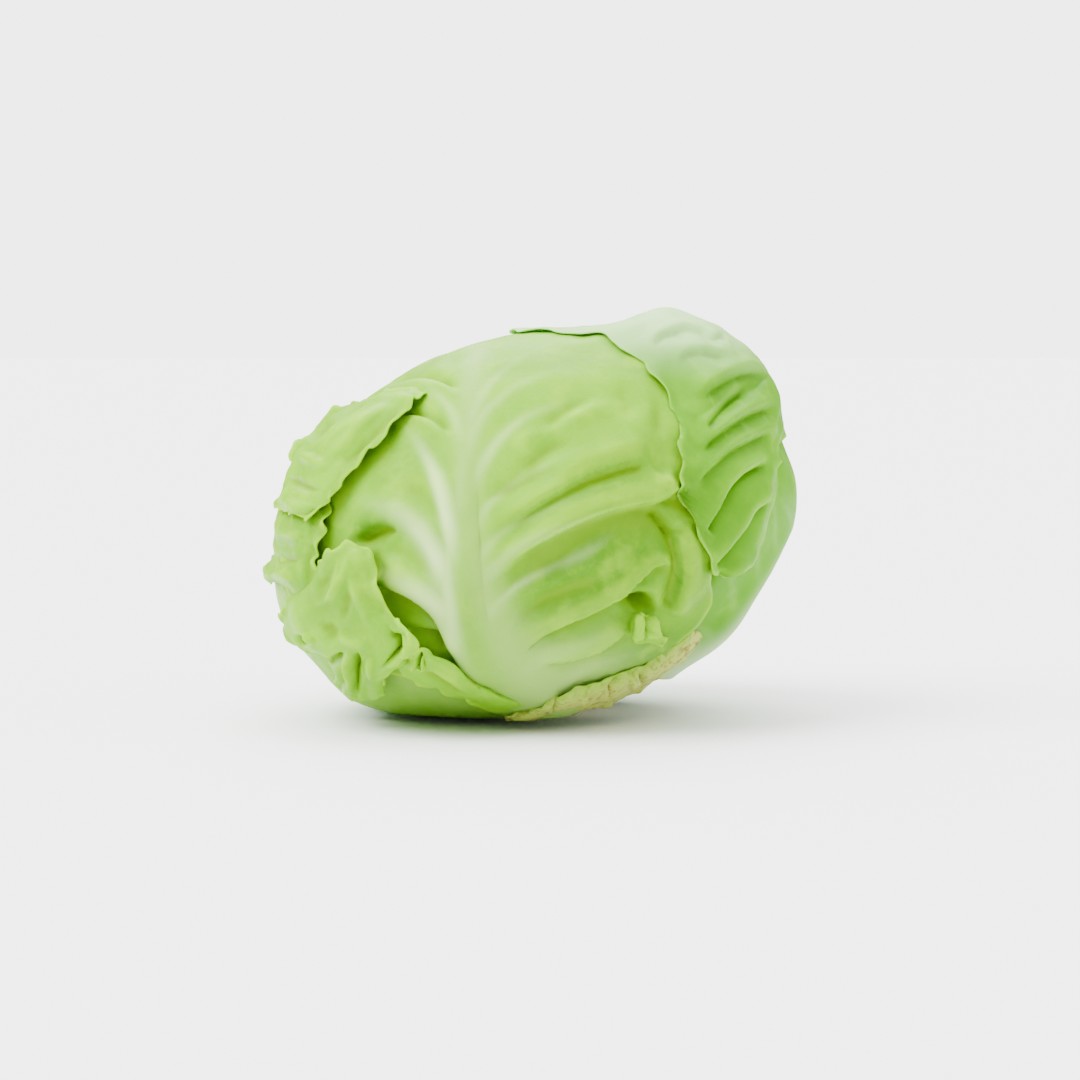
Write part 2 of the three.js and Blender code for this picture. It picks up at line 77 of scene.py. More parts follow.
# Small maths.
def smooth(low, high, x):
    t = np.clip((x - low) / (high - low), 0, 1)
    return t * t * (3 - 2 * t)


def unit(vectors):
    return vectors / np.linalg.norm(vectors, axis=-1, keepdims=True)


def mix(a, b, t):
    return a + (b - a) * t


def bell(distance, reach):
    return np.exp(-((distance / reach) ** 2))


def above_zero(value, softness):
    """Close to the value where it is positive and to zero where it is negative."""
    return softness * np.logaddexp(0, value / softness)


def catmull(values, t):
    """A uniform Catmull-Rom curve through values, at each share in t."""
    spans = len(values) - 1
    k = np.minimum((t * spans).astype(int), spans - 1)
    f = t * spans - k
    weights = (
        0.5 * (-f + 2 * f**2 - f**3),
        0.5 * (2 - 5 * f**2 + 3 * f**3),
        0.5 * (f + 4 * f**2 - 3 * f**3),
        0.5 * (-(f**2) + f**3),
    )
    shape = (-1,) + (1,) * (values.ndim - 1)
    return sum(
        weight.reshape(shape) * values[np.clip(k - 1 + i, 0, spans)]
        for i, weight in enumerate(weights)
    )


WAVES = 16
LENGTH_SPREAD = (0.7, 1.5)


def ripples(points, wavelength, seed):
    """Seeded smooth noise of about unit strength."""
    rng = np.random.default_rng(seed)
    directions = unit(rng.normal(size=(WAVES, 3)))
    lengths = wavelength * rng.uniform(*LENGTH_SPREAD, WAVES)
    phases = rng.uniform(0, 2 * math.pi, WAVES)
    turns = points @ (directions / lengths[:, None]).T
    return np.sin(2 * math.pi * turns + phases).sum(-1) / math.sqrt(WAVES / 2)


def ragged(points, wavelength, seed):
    """Seeded smooth noise along each of the three axes."""
    return np.stack([ripples(points, wavelength, seed + i) for i in range(3)], -1)


# Places on the head: unit vectors in its axes.
def on_head(place, height):
    """The point this high over a place on the head, and the way out of the head there."""
    point = HEAD_MIDDLE + (place * HEAD_HALVES) @ HEAD_AXES
    normal = unit((place / HEAD_HALVES) @ HEAD_AXES)
    return point + normal * np.asarray(height)[..., None], normal


def pixels_of(points):
    away = points - EYE
    scale = SIGHT_DISTANCE / (away @ AHEAD) * PIXELS_PER_MM
    return np.stack([MIDDLE_PIXEL + away @ RIGHTWARD * scale, MIDDLE_PIXEL - away @ UPWARD * scale], -1)


def place_seen(px, py, skin=MARK_SKIN):
    """Where the line of sight through a pixel meets the near side of a skin over the head."""
    line = (
        AHEAD * SIGHT_DISTANCE
        + RIGHTWARD * (px - MIDDLE_PIXEL) / PIXELS_PER_MM
        + UPWARD * (MIDDLE_PIXEL - py) / PIXELS_PER_MM
    )
    halves = HEAD_HALVES + skin
    a = HEAD_AXES @ (EYE - HEAD_MIDDLE) / halves
    b = HEAD_AXES @ line / halves
    reach = a @ b / (b @ b)
    inside = reach * reach - (a @ a - 1) / (b @ b)
    return unit(a + b * (-reach - math.sqrt(max(0, inside))))


def around(bearing_deg, stem_angle_deg, lift=0):
    """A place by its bearing round the head and its angle from the stem, with a lift."""
    bearing, angle = math.radians(bearing_deg), math.radians(stem_angle_deg)
    return np.array([
        math.sin(angle) * math.sin(bearing),
        -math.sin(angle) * math.cos(bearing),
        -math.cos(angle),
        lift,
    ])


# Broad swellings of the head, each with its middle, its spread in degrees and its rise.
SWELLINGS = [
    (place_seen(740, 350), 22, 9.5),
    (around(85, 66)[:3], 28, 4.5),
    (around(90, 74)[:3], 15, 4),
    (place_seen(672, 322), 9, 3.6),
    (place_seen(598, 332), 10, -2.8),
    (place_seen(735, 612), 15, 2.2),
    (place_seen(345, 690), 11, 1.8),
    (place_seen(318, 672), 9, -2.5),
    (place_seen(702, 672), 8, -1.2),
]

# Painted shade: where the front leaf is painted a deeper green for the shade in its recesses, under its folds
# and on its lower right, each with a middle, a spread in degrees and a share.
PAINTED_SHADE_MARKS = [
    (place_seen(616, 562), 18, 0.9),
    (place_seen(692, 566), 14, 0.95),
    (place_seen(645, 650), 15, 0.95),
    (place_seen(575, 570), 14, 0.8),
    (place_seen(575, 606), 6, 0.8),
    (place_seen(600, 492), 10, 0.6),
    (place_seen(372, 532), 5, 1.0),
]


def marks_at(place, marks):
    """How high each mark stands at a place."""
    return [
        height * bell(np.degrees(np.arccos(np.clip(place @ middle, -1, 1))), spread)
        for middle, spread, height in marks
    ]


def swelling_field(place):
    return sum(marks_at(place, SWELLINGS))


def painted_shade_field(place):
    return np.maximum.reduce(marks_at(place, PAINTED_SHADE_MARKS))


def seen_at(px, py, height=0):
    """The place at which something this high above the outer leaves is seen at a pixel."""
    place = place_seen(px, py, SIGHT_LAYER + height)
    for _ in range(SIGHT_ROUNDS):
        place = place_seen(px, py, SIGHT_LAYER + height + swelling_field(place))
    return place


def seen(*stations):
    """Rail stations from pixels of the front view, each with its lift if it has one."""
    return [np.append(seen_at(px, py), lift or 0) for px, py, *lift in stations]


def turned(*stations):
    """Rail stations from bearings round the head and angles from the stem."""
    return [around(*station) for station in stations]


def rail_at(rail, v):
    stations = catmull(np.array(rail), v)
    return unit(stations[:, :3]), stations[:, 3]


TINY_ANGLE = 1e-6  # keeps equal places from dividing by zero


def between(start, end, share):
    """Great-circle steps from the start places to the end places."""
    angle = np.maximum(np.arccos(np.clip((start * end).sum(-1, keepdims=True), -1, 1)), TINY_ANGLE)
    step = np.sin((1 - share) * angle) * start + np.sin(share * angle) * end
    return unit(step / np.sin(angle))


# Soft folds of the front, drawn in the front view. They carry through all the layers of leaves.
# Each has a path, its reach to its left and its right in pixels, and its rise in millimetres.
FOLDS = [
    # Front leaf, right half, from the top down.
    ([(534, 436), (552, 422), (572, 406), (598, 394)], 9, 9, -1.7),
    ([(508, 472), (530, 462), (552, 449), (580, 442)], 8, 9, -1.7),
    ([(500, 452), (540, 432), (585, 414), (630, 402)], 9, 9, 1.2),
    ([(540, 482), (580, 464), (620, 450), (652, 440)], 10, 10, 1),
    ([(610, 380), (626, 400), (632, 424)], 12, 12, -1.2),
    ([(484, 504), (508, 491), (536, 478), (572, 470)], 12, 12, -2),
    ([(488, 545), (512, 534), (550, 520), (590, 512)], 9, 10, -0.9),
    ([(500, 560), (550, 534), (600, 512), (650, 494)], 14, 12, 1),
    ([(492, 625), (504, 606), (545, 585), (572, 571), (590, 557), (630, 517)], 7, 7, 1),
    ([(510, 620), (535, 606), (565, 594), (600, 581), (634, 561)], 12, 12, -2.2),
    ([(500, 600), (540, 570), (580, 550)], 12, 10, -1),
    ([(672, 500), (686, 530), (694, 560), (694, 590), (680, 615)], 14, 11, 1.6),
    ([(664, 523), (674, 530), (686, 532)], 4, 6, -1.8),
    ([(655, 395), (659, 418), (656, 440)], 8, 8, -1.4),
    ([(476, 450), (478, 500), (482, 560), (486, 600), (498, 636)], 9, 10, -1.3),
    # Front leaf, left half.
    ([(454, 545), (449, 505), (438, 478), (420, 452)], 10, 9, 1.8),
    ([(442, 566), (430, 533), (412, 513), (380, 504)], 9, 12, 2.2),
    ([(455, 616), (428, 590), (402, 568), (374, 556)], 11, 8, 2.2),
    ([(430, 540), (420, 500), (404, 470)], 12, 12, -1.2),
    ([(350, 543), (366, 538), (380, 533), (392, 530)], 10, 12, -1.8),
    ([(372, 548), (374, 566), (378, 584)], 9, 9, -1.6),
    ([(630, 604), (644, 605), (658, 606)], 9, 7, -12),
    ([(719, 566), (718, 578), (721, 592)], 4, 4, -2.6),
    ([(652, 470), (660, 486), (668, 476), (672, 460)], 5, 5, 1.2),
    # Leaf over the top.
    ([(690, 425), (716, 408), (742, 392), (768, 388)], 8, 10, -1.6),
    ([(700, 350), (712, 360), (722, 376)], 7, 7, -0.8),
    ([(560, 350), (600, 338), (640, 330), (676, 320)], 6, 7, 0.9),
]

# Pleats, drawn the same way, with the crest on a path's left. Each rises slowly to its crest, drops
# steeply past it and comes back slowly from a trough. Each has its path, the crest's reach and rise,
# the trough's reach and depth, and the shares of the path over which it grows at its start and end.
PLEATS = [
    # Front leaf, right half, from the top down.
    (
        [
            (478, 538), (496, 524), (515, 514), (535, 503), (558, 490), (582, 477), (612, 466), (640, 459),
            (650, 464),
        ],
        30, 2, 13, 2.3, 0.4, 0.2,
    ),
    (
        [
            (474, 582), (491, 569), (510, 556), (532, 543), (557, 530), (582, 518), (610, 508), (632, 503),
            (655, 499), (672, 490), (680, 478),
        ],
        24, 3.2, 34, 3.6, 0.4, 0.12,
    ),
    (
        [
            (496, 652), (516, 638), (536, 629), (557, 622), (580, 614), (600, 605), (618, 595), (636, 579),
            (653, 564), (674, 558),
        ],
        11, 2.6, 12, 3, 0.3, 0.08,
    ),
    (
        [(520, 655), (544, 651), (565, 651), (584, 649), (600, 644), (614, 635), (630, 624)],
        14, 3, 12, 3.8, 0.3, 0.15,
    ),
    ([(612, 600), (628, 594), (644, 595), (656, 602)], 8, 1.4, 14, 6, 0.3, 0.3),
    ([(658, 500), (670, 518), (679, 540), (683, 568), (680, 590), (672, 616)], 10, 2.6, 11, 3.8, 0.12, 0.1),
    # Front leaf, left half, from the right.
    ([(455, 402), (446, 388), (424, 381), (400, 385), (374, 397)], 7, 1, 9, 3, 0.3, 0.2),
    ([(448, 446), (438, 430), (426, 421), (410, 418), (392, 423)], 6, 1, 11, 2.4, 0.3, 0.1),
    (
        [
            (372, 576), (394, 587), (416, 597), (432, 610), (444, 628), (454, 648), (467, 667), (486, 684),
            (512, 697),
        ],
        20, 2.4, 24, 2.4, 0.12, 0.25,
    ),
    ([(400, 620), (424, 627), (442, 634), (453, 654)], 8, 1.2, 11, 2.6, 0.3, 0.2),
    ([(348, 543), (358, 533), (371, 525), (385, 521), (397, 526), (404, 536)], 9, 0.8, 13, 2.8, 0.2, 0.25),
    # Leaf over the top.
    (
        [(640, 352), (655, 340), (680, 330), (700, 331), (712, 338), (722, 331), (740, 337)],
        10, 1, 12, 1.6, 0.2, 0.3,
    ),
    ([(666, 361), (690, 352), (712, 353), (737, 360)], 9, 0.8, 10, 1.3, 0.3, 0.3),
    ([(686, 400), (704, 389), (725, 377), (745, 370), (764, 374), (774, 384)], 11, 1.4, 15, 2.6, 0.25, 0.2),
    ([(694, 434), (712, 414), (730, 396), (747, 382)], 8, 1, 9, 2.2, 0.2, 0.3),
    ([(690, 452), (712, 434), (742, 414), (772, 402)], 12, 1.8, 14, 1.8, 0.25, 0.2),
    ([(686, 484), (704, 468), (724, 450), (750, 436), (775, 426)], 12, 1.6, 12, 1.4, 0.2, 0.2),
    ([(698, 530), (711, 510), (723, 487), (735, 473), (750, 464), (768, 454)], 13, 1.8, 9, 3.8, 0.08, 0.2),
    ([(704, 561), (720, 548), (736, 528), (746, 511), (756, 502), (775, 490)], 13, 1.8, 10, 3.6, 0.1, 0.2),
    ([(718, 573), (736, 569), (748, 563), (758, 546)], 8, 1.4, 8, 3, 0.1, 0.2),
    ([(778, 468), (777, 450), (782, 430), (776, 410)], 5, 0.6, 6, 2.4, 0.3, 0.3),
]
FOLD_STEPS = 7  # straight steps in each span of a path
FOLD_END = 0.42  # share of a path over which its fold grows to its full rise and reach
FOLD_RISE = 1.2
PLEAT_DROP = 3.2  # pixels
WIDE_END, NARROW_END, LOW_END = 3, 0.6, 0.03
VEIN_TIP, VEIN_START, VEIN_FADE = 0.5, 0.3, 0.7
SHOWN = (0.02, 0.2)  # how far a surface must face the view for its folds to start and to be full


def near_line(line, points):
    """Distance from a line of straight steps, share of its length, and side (left of it is positive)."""
    square = np.full(points.shape[:-1], np.inf)
    share = np.zeros(square.shape)
    side = np.ones(square.shape)
    for k, (start, end) in enumerate(zip(line[:-1], line[1:])):
        step = end - start
        away = [points[..., axis] - start[axis] for axis in range(len(step))]
        f = np.clip(sum(a * s for a, s in zip(away, step)) / (step @ step), 0, 1)
        gap = sum((a - f * s) ** 2 for a, s in zip(away, step))
        nearer = gap < square
        square = np.where(nearer, gap, square)
        share = np.where(nearer, (k + f) / (len(line) - 1), share)
        side = np.where(nearer, away[0] * step[1] - away[1] * step[0], side)
    return np.sqrt(square), share, side


def across_path(path, pixels):
    """The same for a smoothed path that is drawn in the front view, in pixels."""
    points = np.array(path, float)
    return near_line(catmull(points, np.linspace(0, 1, FOLD_STEPS * (len(points) - 1) + 1)), pixels)


def tapered(share, start, end):
    return smooth(0, start, share) * smooth(1, 1 - end, share)


def fold_share(path, left, right, pixels):
    distance, share, side = across_path(path, pixels)
    ends = tapered(share, FOLD_END, FOLD_END)
    reach = np.where(side > 0, left, right) * mix(NARROW_END, 1, ends)
    return bell(distance, reach) * mix(LOW_END, 1, ends)


def drawn_rise(folds, pixels):
    return sum(rise * fold_share(path, left, right, pixels) for path, left, right, rise in folds)


def vein_share(path, half, pixels):
    distance, share, _ = across_path(path, pixels)
    return bell(distance, half * mix(1, VEIN_TIP, share)) * tapered(share, VEIN_START, VEIN_FADE)


def pleat_rise(pixels, path, crest_reach, crest, trough_reach, trough, start, end):
    distance, share, side = across_path(path, pixels)
    ends = tapered(share, start, end)
    narrowing = mix(NARROW_END, 1, ends)
    upper = crest * bell(distance, crest_reach * narrowing)
    drop = bell(distance, PLEAT_DROP * mix(WIDE_END, 1, ends))
    lower = (crest + trough) * drop - trough * bell(distance, trough_reach * narrowing)
    return np.where(side > 0, upper, lower) * mix(LOW_END, 1, ends)


def fold_field(place):
    point, normal = on_head(place, SIGHT_LAYER + swelling_field(place))
    facing = -(normal * unit(point - EYE)).sum(-1)
    pixels = pixels_of(point)
    pleats = sum(pleat_rise(pixels, *pleat) for pleat in PLEATS)
    return (FOLD_RISE * drawn_rise(FOLDS, pixels) + pleats) * smooth(*SHOWN, facing)


# The underside is pressed flat where the head lies on the surface.
PRESS_SKINS = (3.9, 7.1)
PRESS_DEPTHS = (0.12, 0.32)
PRESS_SOFTNESS = 0.6
PRESS_FACING = -0.3
FLOOR_SOFTNESS = 0.4


def press_field(place):
    skin = mix(*PRESS_SKINS, smooth(*PRESS_DEPTHS, -place[..., 1]))
    point, normal = on_head(place, skin)
    depth = above_zero(-point[..., 2], PRESS_SOFTNESS)
    return np.where(normal[..., 2] > PRESS_FACING, 0, depth / np.minimum(normal[..., 2], PRESS_FACING))


def above_floor(points):
    points[..., 2] = LEAF_HALF + above_zero(points[..., 2] - LEAF_HALF, FLOOR_SOFTNESS)
    return points


# Sheets: a grid of middle points becomes one closed shell with an outer and an inner face and a rim.
ATTRIBUTES = ("midrib", "vein", "hollow", "rim", "base", "brown", "green")


def attribute_values(shape, **known):
    """What the leaf material reads at each point, zero unless it is known."""
    return {name: known.get(name, np.zeros(shape)) for name in ATTRIBUTES}


def grid_normals(middle):
    return unit(np.cross(np.gradient(middle, axis=0), np.gradient(middle, axis=1)))


def margin_distance(middle):
    """Roughly how far each grid point is from the nearest side of the grid, in millimetres."""
    along = np.linalg.norm(np.diff(middle, axis=0), axis=-1)
    across = np.linalg.norm(np.diff(middle, axis=1), axis=-1)
    down = np.concatenate([np.zeros((1, middle.shape[1])), np.cumsum(along, 0)])
    over = np.concatenate([np.zeros((middle.shape[0], 1)), np.cumsum(across, 1)], 1)
    return np.minimum.reduce([down, down[-1:] - down, over, over[:, -1:] - over])


def shell(middle, outer_rise, attributes, half, margin):
    normal = grid_normals(middle)
    thickness = half * mix(RIM_SHARE, 1, smooth(0, margin, margin_distance(middle)))[..., None]
    outer = middle + normal * (thickness + outer_rise[..., None])
    inner = middle - normal * thickness
    points = np.concatenate([outer.reshape(-1, 3), inner.reshape(-1, 3)])
    points[:, 2] = np.maximum(points[:, 2], 0)
    ids = np.arange(middle[..., 0].size).reshape(middle.shape[:2])
    a, b, c, d = ids[:-1, :-1], ids[:-1, 1:], ids[1:, 1:], ids[1:, :-1]
    front = np.stack([a, d, c, b], -1).reshape(-1, 4)
    back = np.stack([a, b, c, d], -1).reshape(-1, 4) + ids.size
    ring = np.concatenate([ids[0, :-1], ids[:-1, -1], ids[-1, :0:-1], ids[:0:-1, 0]])
    after = np.roll(ring, -1)
    rim = np.stack([ring, after, after + ids.size, ring + ids.size], -1)
    values = {name: np.tile(value.reshape(-1), 2) for name, value in attributes.items()}
    return points, np.concatenate([front, back, rim]), values


def ring_faces(ids):
    """Faces between the rows of a grid whose columns close on themselves."""
    low, high = ids[:-1], ids[1:]
    return np.stack([low, np.roll(low, -1, 1), np.roll(high, -1, 1), high], -1).reshape(-1, 4)


def placed(name, data):
    """A new object in the scene."""
    thing = bpy.data.objects.new(name, data)
    bpy.context.scene.collection.objects.link(thing)
    return thing


def make_piece(name, shells, material, node):
    """Joins shells into one mesh object in metres, which stands for the frame's node."""
    points = np.concatenate([part[0] for part in shells])
    starts = np.cumsum([0] + [len(part[0]) for part in shells[:-1]])
    faces = np.concatenate([part[1] + start for part, start in zip(shells, starts)])
    corners = points[faces]
    fan = np.cross(corners[:, 2] - corners[:, 0], corners[:, 3] - corners[:, 1])
    if (fan * corners.mean(1)).sum() < 0:
        faces = faces[:, ::-1]
    mesh = bpy.data.meshes.new(name)
    mesh.from_pydata((points * MM).tolist(), [], faces.tolist())
    for attribute in ATTRIBUTES:
        values = np.concatenate([part[2][attribute] for part in shells]).astype(np.float32)
        mesh.attributes.new(attribute, "FLOAT", "POINT").data.foreach_set("value", values)
    mesh.polygons.foreach_set("use_smooth", [True] * len(mesh.polygons))
    mesh.materials.append(material)
    mesh.update()
    piece = placed(name, mesh)
    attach(piece, "root")
    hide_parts(node)


def blurred(field, radius):
    """Box blur of a grid, run twice, with its borders held."""
    for axis in (0, 1) * 2:
        size = 2 * radius + 1
        pads = [(radius + 1, radius) if k == axis else (0, 0) for k in (0, 1)]
        total = np.cumsum(np.pad(field, pads, mode="edge"), axis=axis)
        length = field.shape[axis]
        high = np.take(total, range(size, size + length), axis=axis)
        low = np.take(total, range(length), axis=axis)
        field = (high - low) / size
    return field


def hollows(relief, near, far, far_share, depth):
    """How far the relief lies below its near and far surroundings, from -1 to 1 at this depth: the mask for
    painted shade in hollows and painted light on ridges.
    """
    below = np.maximum(blurred(relief, near) - relief, far_share * (blurred(relief, far) - relief))
    return np.clip(below / depth, -1, 1)


# Leaves. Each passes from its right side to its left as seen from outside, and from its base to its tip.
CROWDING = 1.4
RIB_STEPS = 60
RIB = {
    "rise": 4.8, "fading": 1.5, "base": 16, "middle": 9, "tip": 4.5, "base_end": 0.3, "start": 0.05,
    "faint": 0.6,
}
SIDE_VEINS = {
    "wander": 2.2, "wander_length": 60, "slant": 0.62, "bend": 0.0028, "spacing": 15.5, "half": 0.9,
    "base_half": 2.0, "base_reach": 18, "start": (3, 12), "fade": (40, 90), "faded": 0.45,
}
FINE_VEINS = {"spacing": 5.2, "half": 0.7, "start": (14, 30)}
PUCKERS = ((11, 0.22), (24, 0.3))  # wavelength and rise of each kind
RELIEF = {"side": 0.75, "fine": 0.15, "drawn": 0.3}  # rise of each kind of vein
WAVE = {"length": 16, "mean": 1.1, "band": 0.3}
MARGIN_BAND = 0.35
RAGGED = {"length": 9, "reach": 0.09}
TUCK = {"start": (0.3, 0.45), "end": (0.85, 0.65), "band": 0.4}
# Painted shade and light: the reaches and depth over which the leaves' hollows are shaded and their ridges
# lit in colour.
LEAF_HOLLOWS = {"near": 6, "far": 16, "far_share": 0.6, "depth": 2.2}
# Painted highlight: leaf margins are tinted lighter within this distance of the edge, where the edges catch
# the light.
LEAF_RIM = (2.2, 0.3)
PALE_BASE = {"share": 0.22, "reach": (42, 8)}
SIDE_VEIN_TINT = 0.9
PLAIN_LEAF = {
    "veins": 0, "drawn_veins": [], "wave": 0, "ragged": 0, "pressed": 0, "tucked": 0, "crowded": True,
    "rib_colour": 1, "paler": 1.2, "green": 0,
}


def leaf_places(leaf):
    """The grid's places, how far its last band lifts off, how far inside each point is, and its shares."""
    v = np.linspace(0, 1, leaf["rows"] + 1)
    bands = len(leaf["rails"]) - 1
    across = np.linspace(0, bands, leaf["columns"] + 1)
    stations = [rail_at(rail, v) for rail in leaf["rails"]]
    places = np.empty((len(v), len(across), 3))
    for k, position in enumerate(across):
        band = min(int(position), bands - 1)
        share = position - band
        if leaf["crowded"]:
            share = 1 - (1 - share) ** CROWDING if band == 0 else share**CROWDING
        places[:, k] = between(stations[band][0], stations[band + 1][0], share)
    lift = stations[-1][1][:, None] * np.clip(across - bands + 1, 0, 1) ** 3
    inside = np.minimum.reduce(np.broadcast_arrays(
        across[None, :], bands - across[None, :], 2 * v[:, None], 2 - 2 * v[:, None]
    ))
    return places, lift, inside, v, across


def near_midrib(midrib, points):
    """Distance from the midrib in millimetres, share of its length and its whole length."""
    place, _ = rail_at(midrib, np.linspace(0, 1, RIB_STEPS + 1))
    line, _ = on_head(place, SIGHT_LAYER)
    distance, share, _ = near_line(line, points)
    return distance, share, np.linalg.norm(np.diff(line, axis=0), axis=1).sum()


def rib_profile(distance, share):
    narrowing = mix(RIB["middle"], RIB["tip"], share)
    return bell(distance, mix(RIB["base"], narrowing, smooth(0, RIB["base_end"], share)))


def vein_rows(run, spacing, half):
    """Even ridges across a running distance."""
    phase = run / spacing - np.floor(run / spacing)
    return bell((phase - 0.5) * spacing, half)


def side_veins(distance, share, length, points, seed):
    """Raised side ribs that leave the midrib slanting to the tip, and a finer set between them."""
    wander = ripples(points, SIDE_VEINS["wander_length"], seed) * SIDE_VEINS["wander"]
    bend = SIDE_VEINS["bend"] * distance**2
    run = share * length - SIDE_VEINS["slant"] * distance + bend + wander
    half = SIDE_VEINS["half"] + SIDE_VEINS["base_half"] * np.exp(-distance / SIDE_VEINS["base_reach"])
    fading = 1 - SIDE_VEINS["faded"] * smooth(*SIDE_VEINS["fade"], distance)
    main = vein_rows(run, SIDE_VEINS["spacing"], half) * smooth(*SIDE_VEINS["start"], distance) * fading
    fine = vein_rows(run, FINE_VEINS["spacing"], FINE_VEINS["half"])
    return main, fine * smooth(*FINE_VEINS["start"], distance)


def leaf_wave(leaf, skin, inside, v, across):
    """How far the margins wave, and how far they are pressed and tucked in."""
    wave = leaf["wave"] * smooth(WAVE["band"], 0, inside)
    wave *= WAVE["mean"] + ripples(skin, WAVE["length"], leaf["seed"] + 3)
    wave -= leaf["pressed"] * smooth(MARGIN_BAND, 0, across)
    along = smooth(*TUCK["start"], v) * smooth(*TUCK["end"], v)
    return wave - leaf["tucked"] * np.outer(along, smooth(across[-1] - TUCK["band"], across[-1], across))


def leaf_shell(leaf):
    """One leaf's blade with its rib, side ribs, puckers and waved margin, and what its material reads."""
    leaf = PLAIN_LEAF | {"midrib": leaf["rails"][1]} | leaf
    seed = leaf["seed"]
    places, lift, inside, v, across = leaf_places(leaf)
    skin, _ = on_head(places, SIGHT_LAYER + swelling_field(places))
    torn = leaf["ragged"] * smooth(RAGGED["reach"], 0, inside)
    places = unit(places + ragged(skin, RAGGED["length"], seed + 5) * torn[..., None])
    skin, _ = on_head(places, SIGHT_LAYER + swelling_field(places))
    folds = fold_field(places)
    distance, share, length = near_midrib(leaf["midrib"], skin)
    rib = rib_profile(distance, share)
    main, fine = side_veins(distance, share, length, skin, seed)
    pixels = pixels_of(skin)
    drawn = np.zeros(share.shape)
    for path, half, strength in leaf["drawn_veins"]:
        drawn = np.maximum(drawn, strength * vein_share(path, half, pixels))
    pucker = sum(ripples(skin, size, seed + 1 + i) * rise for i, (size, rise) in enumerate(PUCKERS))
    pucker *= leaf["pucker"] * (1 - rib) * smooth(0, MARGIN_BAND, inside)
    raised = leaf["veins"] * (1 - rib) * (RELIEF["side"] * main + RELIEF["fine"] * fine)
    detail = pucker + leaf_wave(leaf, skin, inside, v, across) + raised + RELIEF["drawn"] * drawn
    carried = folds + swelling_field(places) + press_field(places)
    middle, _ = on_head(places, leaf["layer"] * LAYER_STEP + carried + lift + detail)
    middle = above_floor(middle)
    outer = RIB["rise"] * (1 - share) ** RIB["fading"] * rib * leaf["rib"] * smooth(0, RIB["start"], share)
    paleness = leaf["rib_colour"] * mix(RIB["faint"], 1, np.abs(2 * share - 1))
    attributes = attribute_values(
        share.shape,
        midrib=rib ** leaf["paler"] * paleness,
        vein=np.clip(np.maximum(main * leaf["veins"] * SIDE_VEIN_TINT, drawn), 0, 1),
        # Painted shade in the hollows of the relief and painted light on its ridges.
        hollow=hollows(folds + detail, **LEAF_HOLLOWS),
        # Painted highlight along the margins.
        rim=smooth(*LEAF_RIM, margin_distance(middle)) * leaf["rim"],
        base=smooth(PALE_BASE["share"], 0, share) * smooth(*PALE_BASE["reach"], distance),
        # Painted shade marks on the front leaf.
        green=painted_shade_field(places) * leaf["green"],
    )
    return shell(middle, outer, attributes, LEAF_HALF, LEAF_MARGIN)


# Veins drawn in the front view, from the midrib outwards: a path, its half width and its strength.
FRONT_VEINS = [
    ([(472, 500), (482, 470), (498, 442), (522, 419), (562, 402), (604, 384)], 6, 0.45),
    ([(474, 545), (484, 518), (500, 494), (528, 474), (570, 456), (612, 440)], 5, 0.3),
    ([(476, 580), (486, 556), (504, 532), (540, 513), (590, 492), (640, 470)], 5, 0.25),
    ([(480, 600), (492, 572), (512, 552), (550, 532), (600, 514), (650, 498)], 5, 0.35),
    ([(486, 628), (502, 600), (530, 580), (566, 562), (600, 540), (640, 512)], 5, 0.5),
    ([(548, 572), (590, 552), (622, 528)], 5, 0.4),
    ([(516, 674), (540, 650), (576, 642), (604, 632), (630, 620)], 6, 0.25),
    ([(540, 684), (580, 668), (620, 658), (650, 648)], 6, 0.3),
    ([(452, 590), (451, 540), (444, 498), (432, 468), (416, 440), (398, 420)], 9, 1),
    ([(450, 620), (442, 574), (428, 543), (408, 520), (380, 506), (340, 500)], 14, 1),
    ([(458, 650), (442, 608), (420, 590), (392, 576), (366, 566)], 14, 0.85),
    ([(484, 698), (458, 650), (449, 604), (447, 566), (453, 520), (463, 470), (467, 410)], 10, 0.8),
    ([(468, 440), (482, 398), (506, 368), (536, 350)], 6, 0.3),
    ([(468, 470), (476, 430), (500, 398), (540, 376), (590, 356)], 6, 0.3),
    ([(464, 450), (454, 416), (436, 392), (416, 376)], 6, 0.35),
]
TOP_VEINS = [
    ([(735, 360), (712, 352), (690, 352), (668, 360)], 3, 0.5),
    ([(774, 384), (764, 374), (745, 370), (725, 376), (704, 388), (684, 399)], 3.5, 0.7),
    ([(747, 381), (730, 394), (712, 412), (694, 432)], 3, 0.4),
    ([(772, 402), (742, 413), (712, 433), (690, 450)], 3, 0.5),
    ([(775, 426), (750, 435), (724, 449), (704, 467), (686, 483)], 3, 0.4),
    ([(768, 454), (750, 463), (735, 472), (723, 486), (711, 509), (698, 529)], 2.5, 0.5),
    ([(775, 490), (756, 501), (746, 510), (736, 527), (720, 547), (704, 560)], 2.5, 0.5),
]
FRONT = {
    "rails": [
        seen(
            (650, 684), (660, 662), (678, 643), (700, 622), (713, 598), (710, 560), (703, 518), (704, 470),
            (702, 420), (685, 375),
        ) + turned((80, 148), (122, 148)),
        seen(
            (588, 704), (540, 680), (504, 632), (484, 585), (475, 540), (471, 495), (470, 450), (471, 410),
            (473, 375), (476, 347),
        ) + turned((190, 172), (188, 160)),
        seen(
            (516, 718), (480, 706), (440, 690), (398, 674), (346, 660), (310, 636), (292, 602, 0.5),
            (282, 556, 0.5), (292, 490), (316, 441), (370, 393), (446, 357),
        ),
    ],
    "drawn_veins": FRONT_VEINS, "layer": 4.2, "rows": 210, "columns": 188, "seed": 11,
    "pucker": 0.55, "wave": 0.25, "rib": 1, "rim": 1, "green": 1, "ragged": 0.004,
}
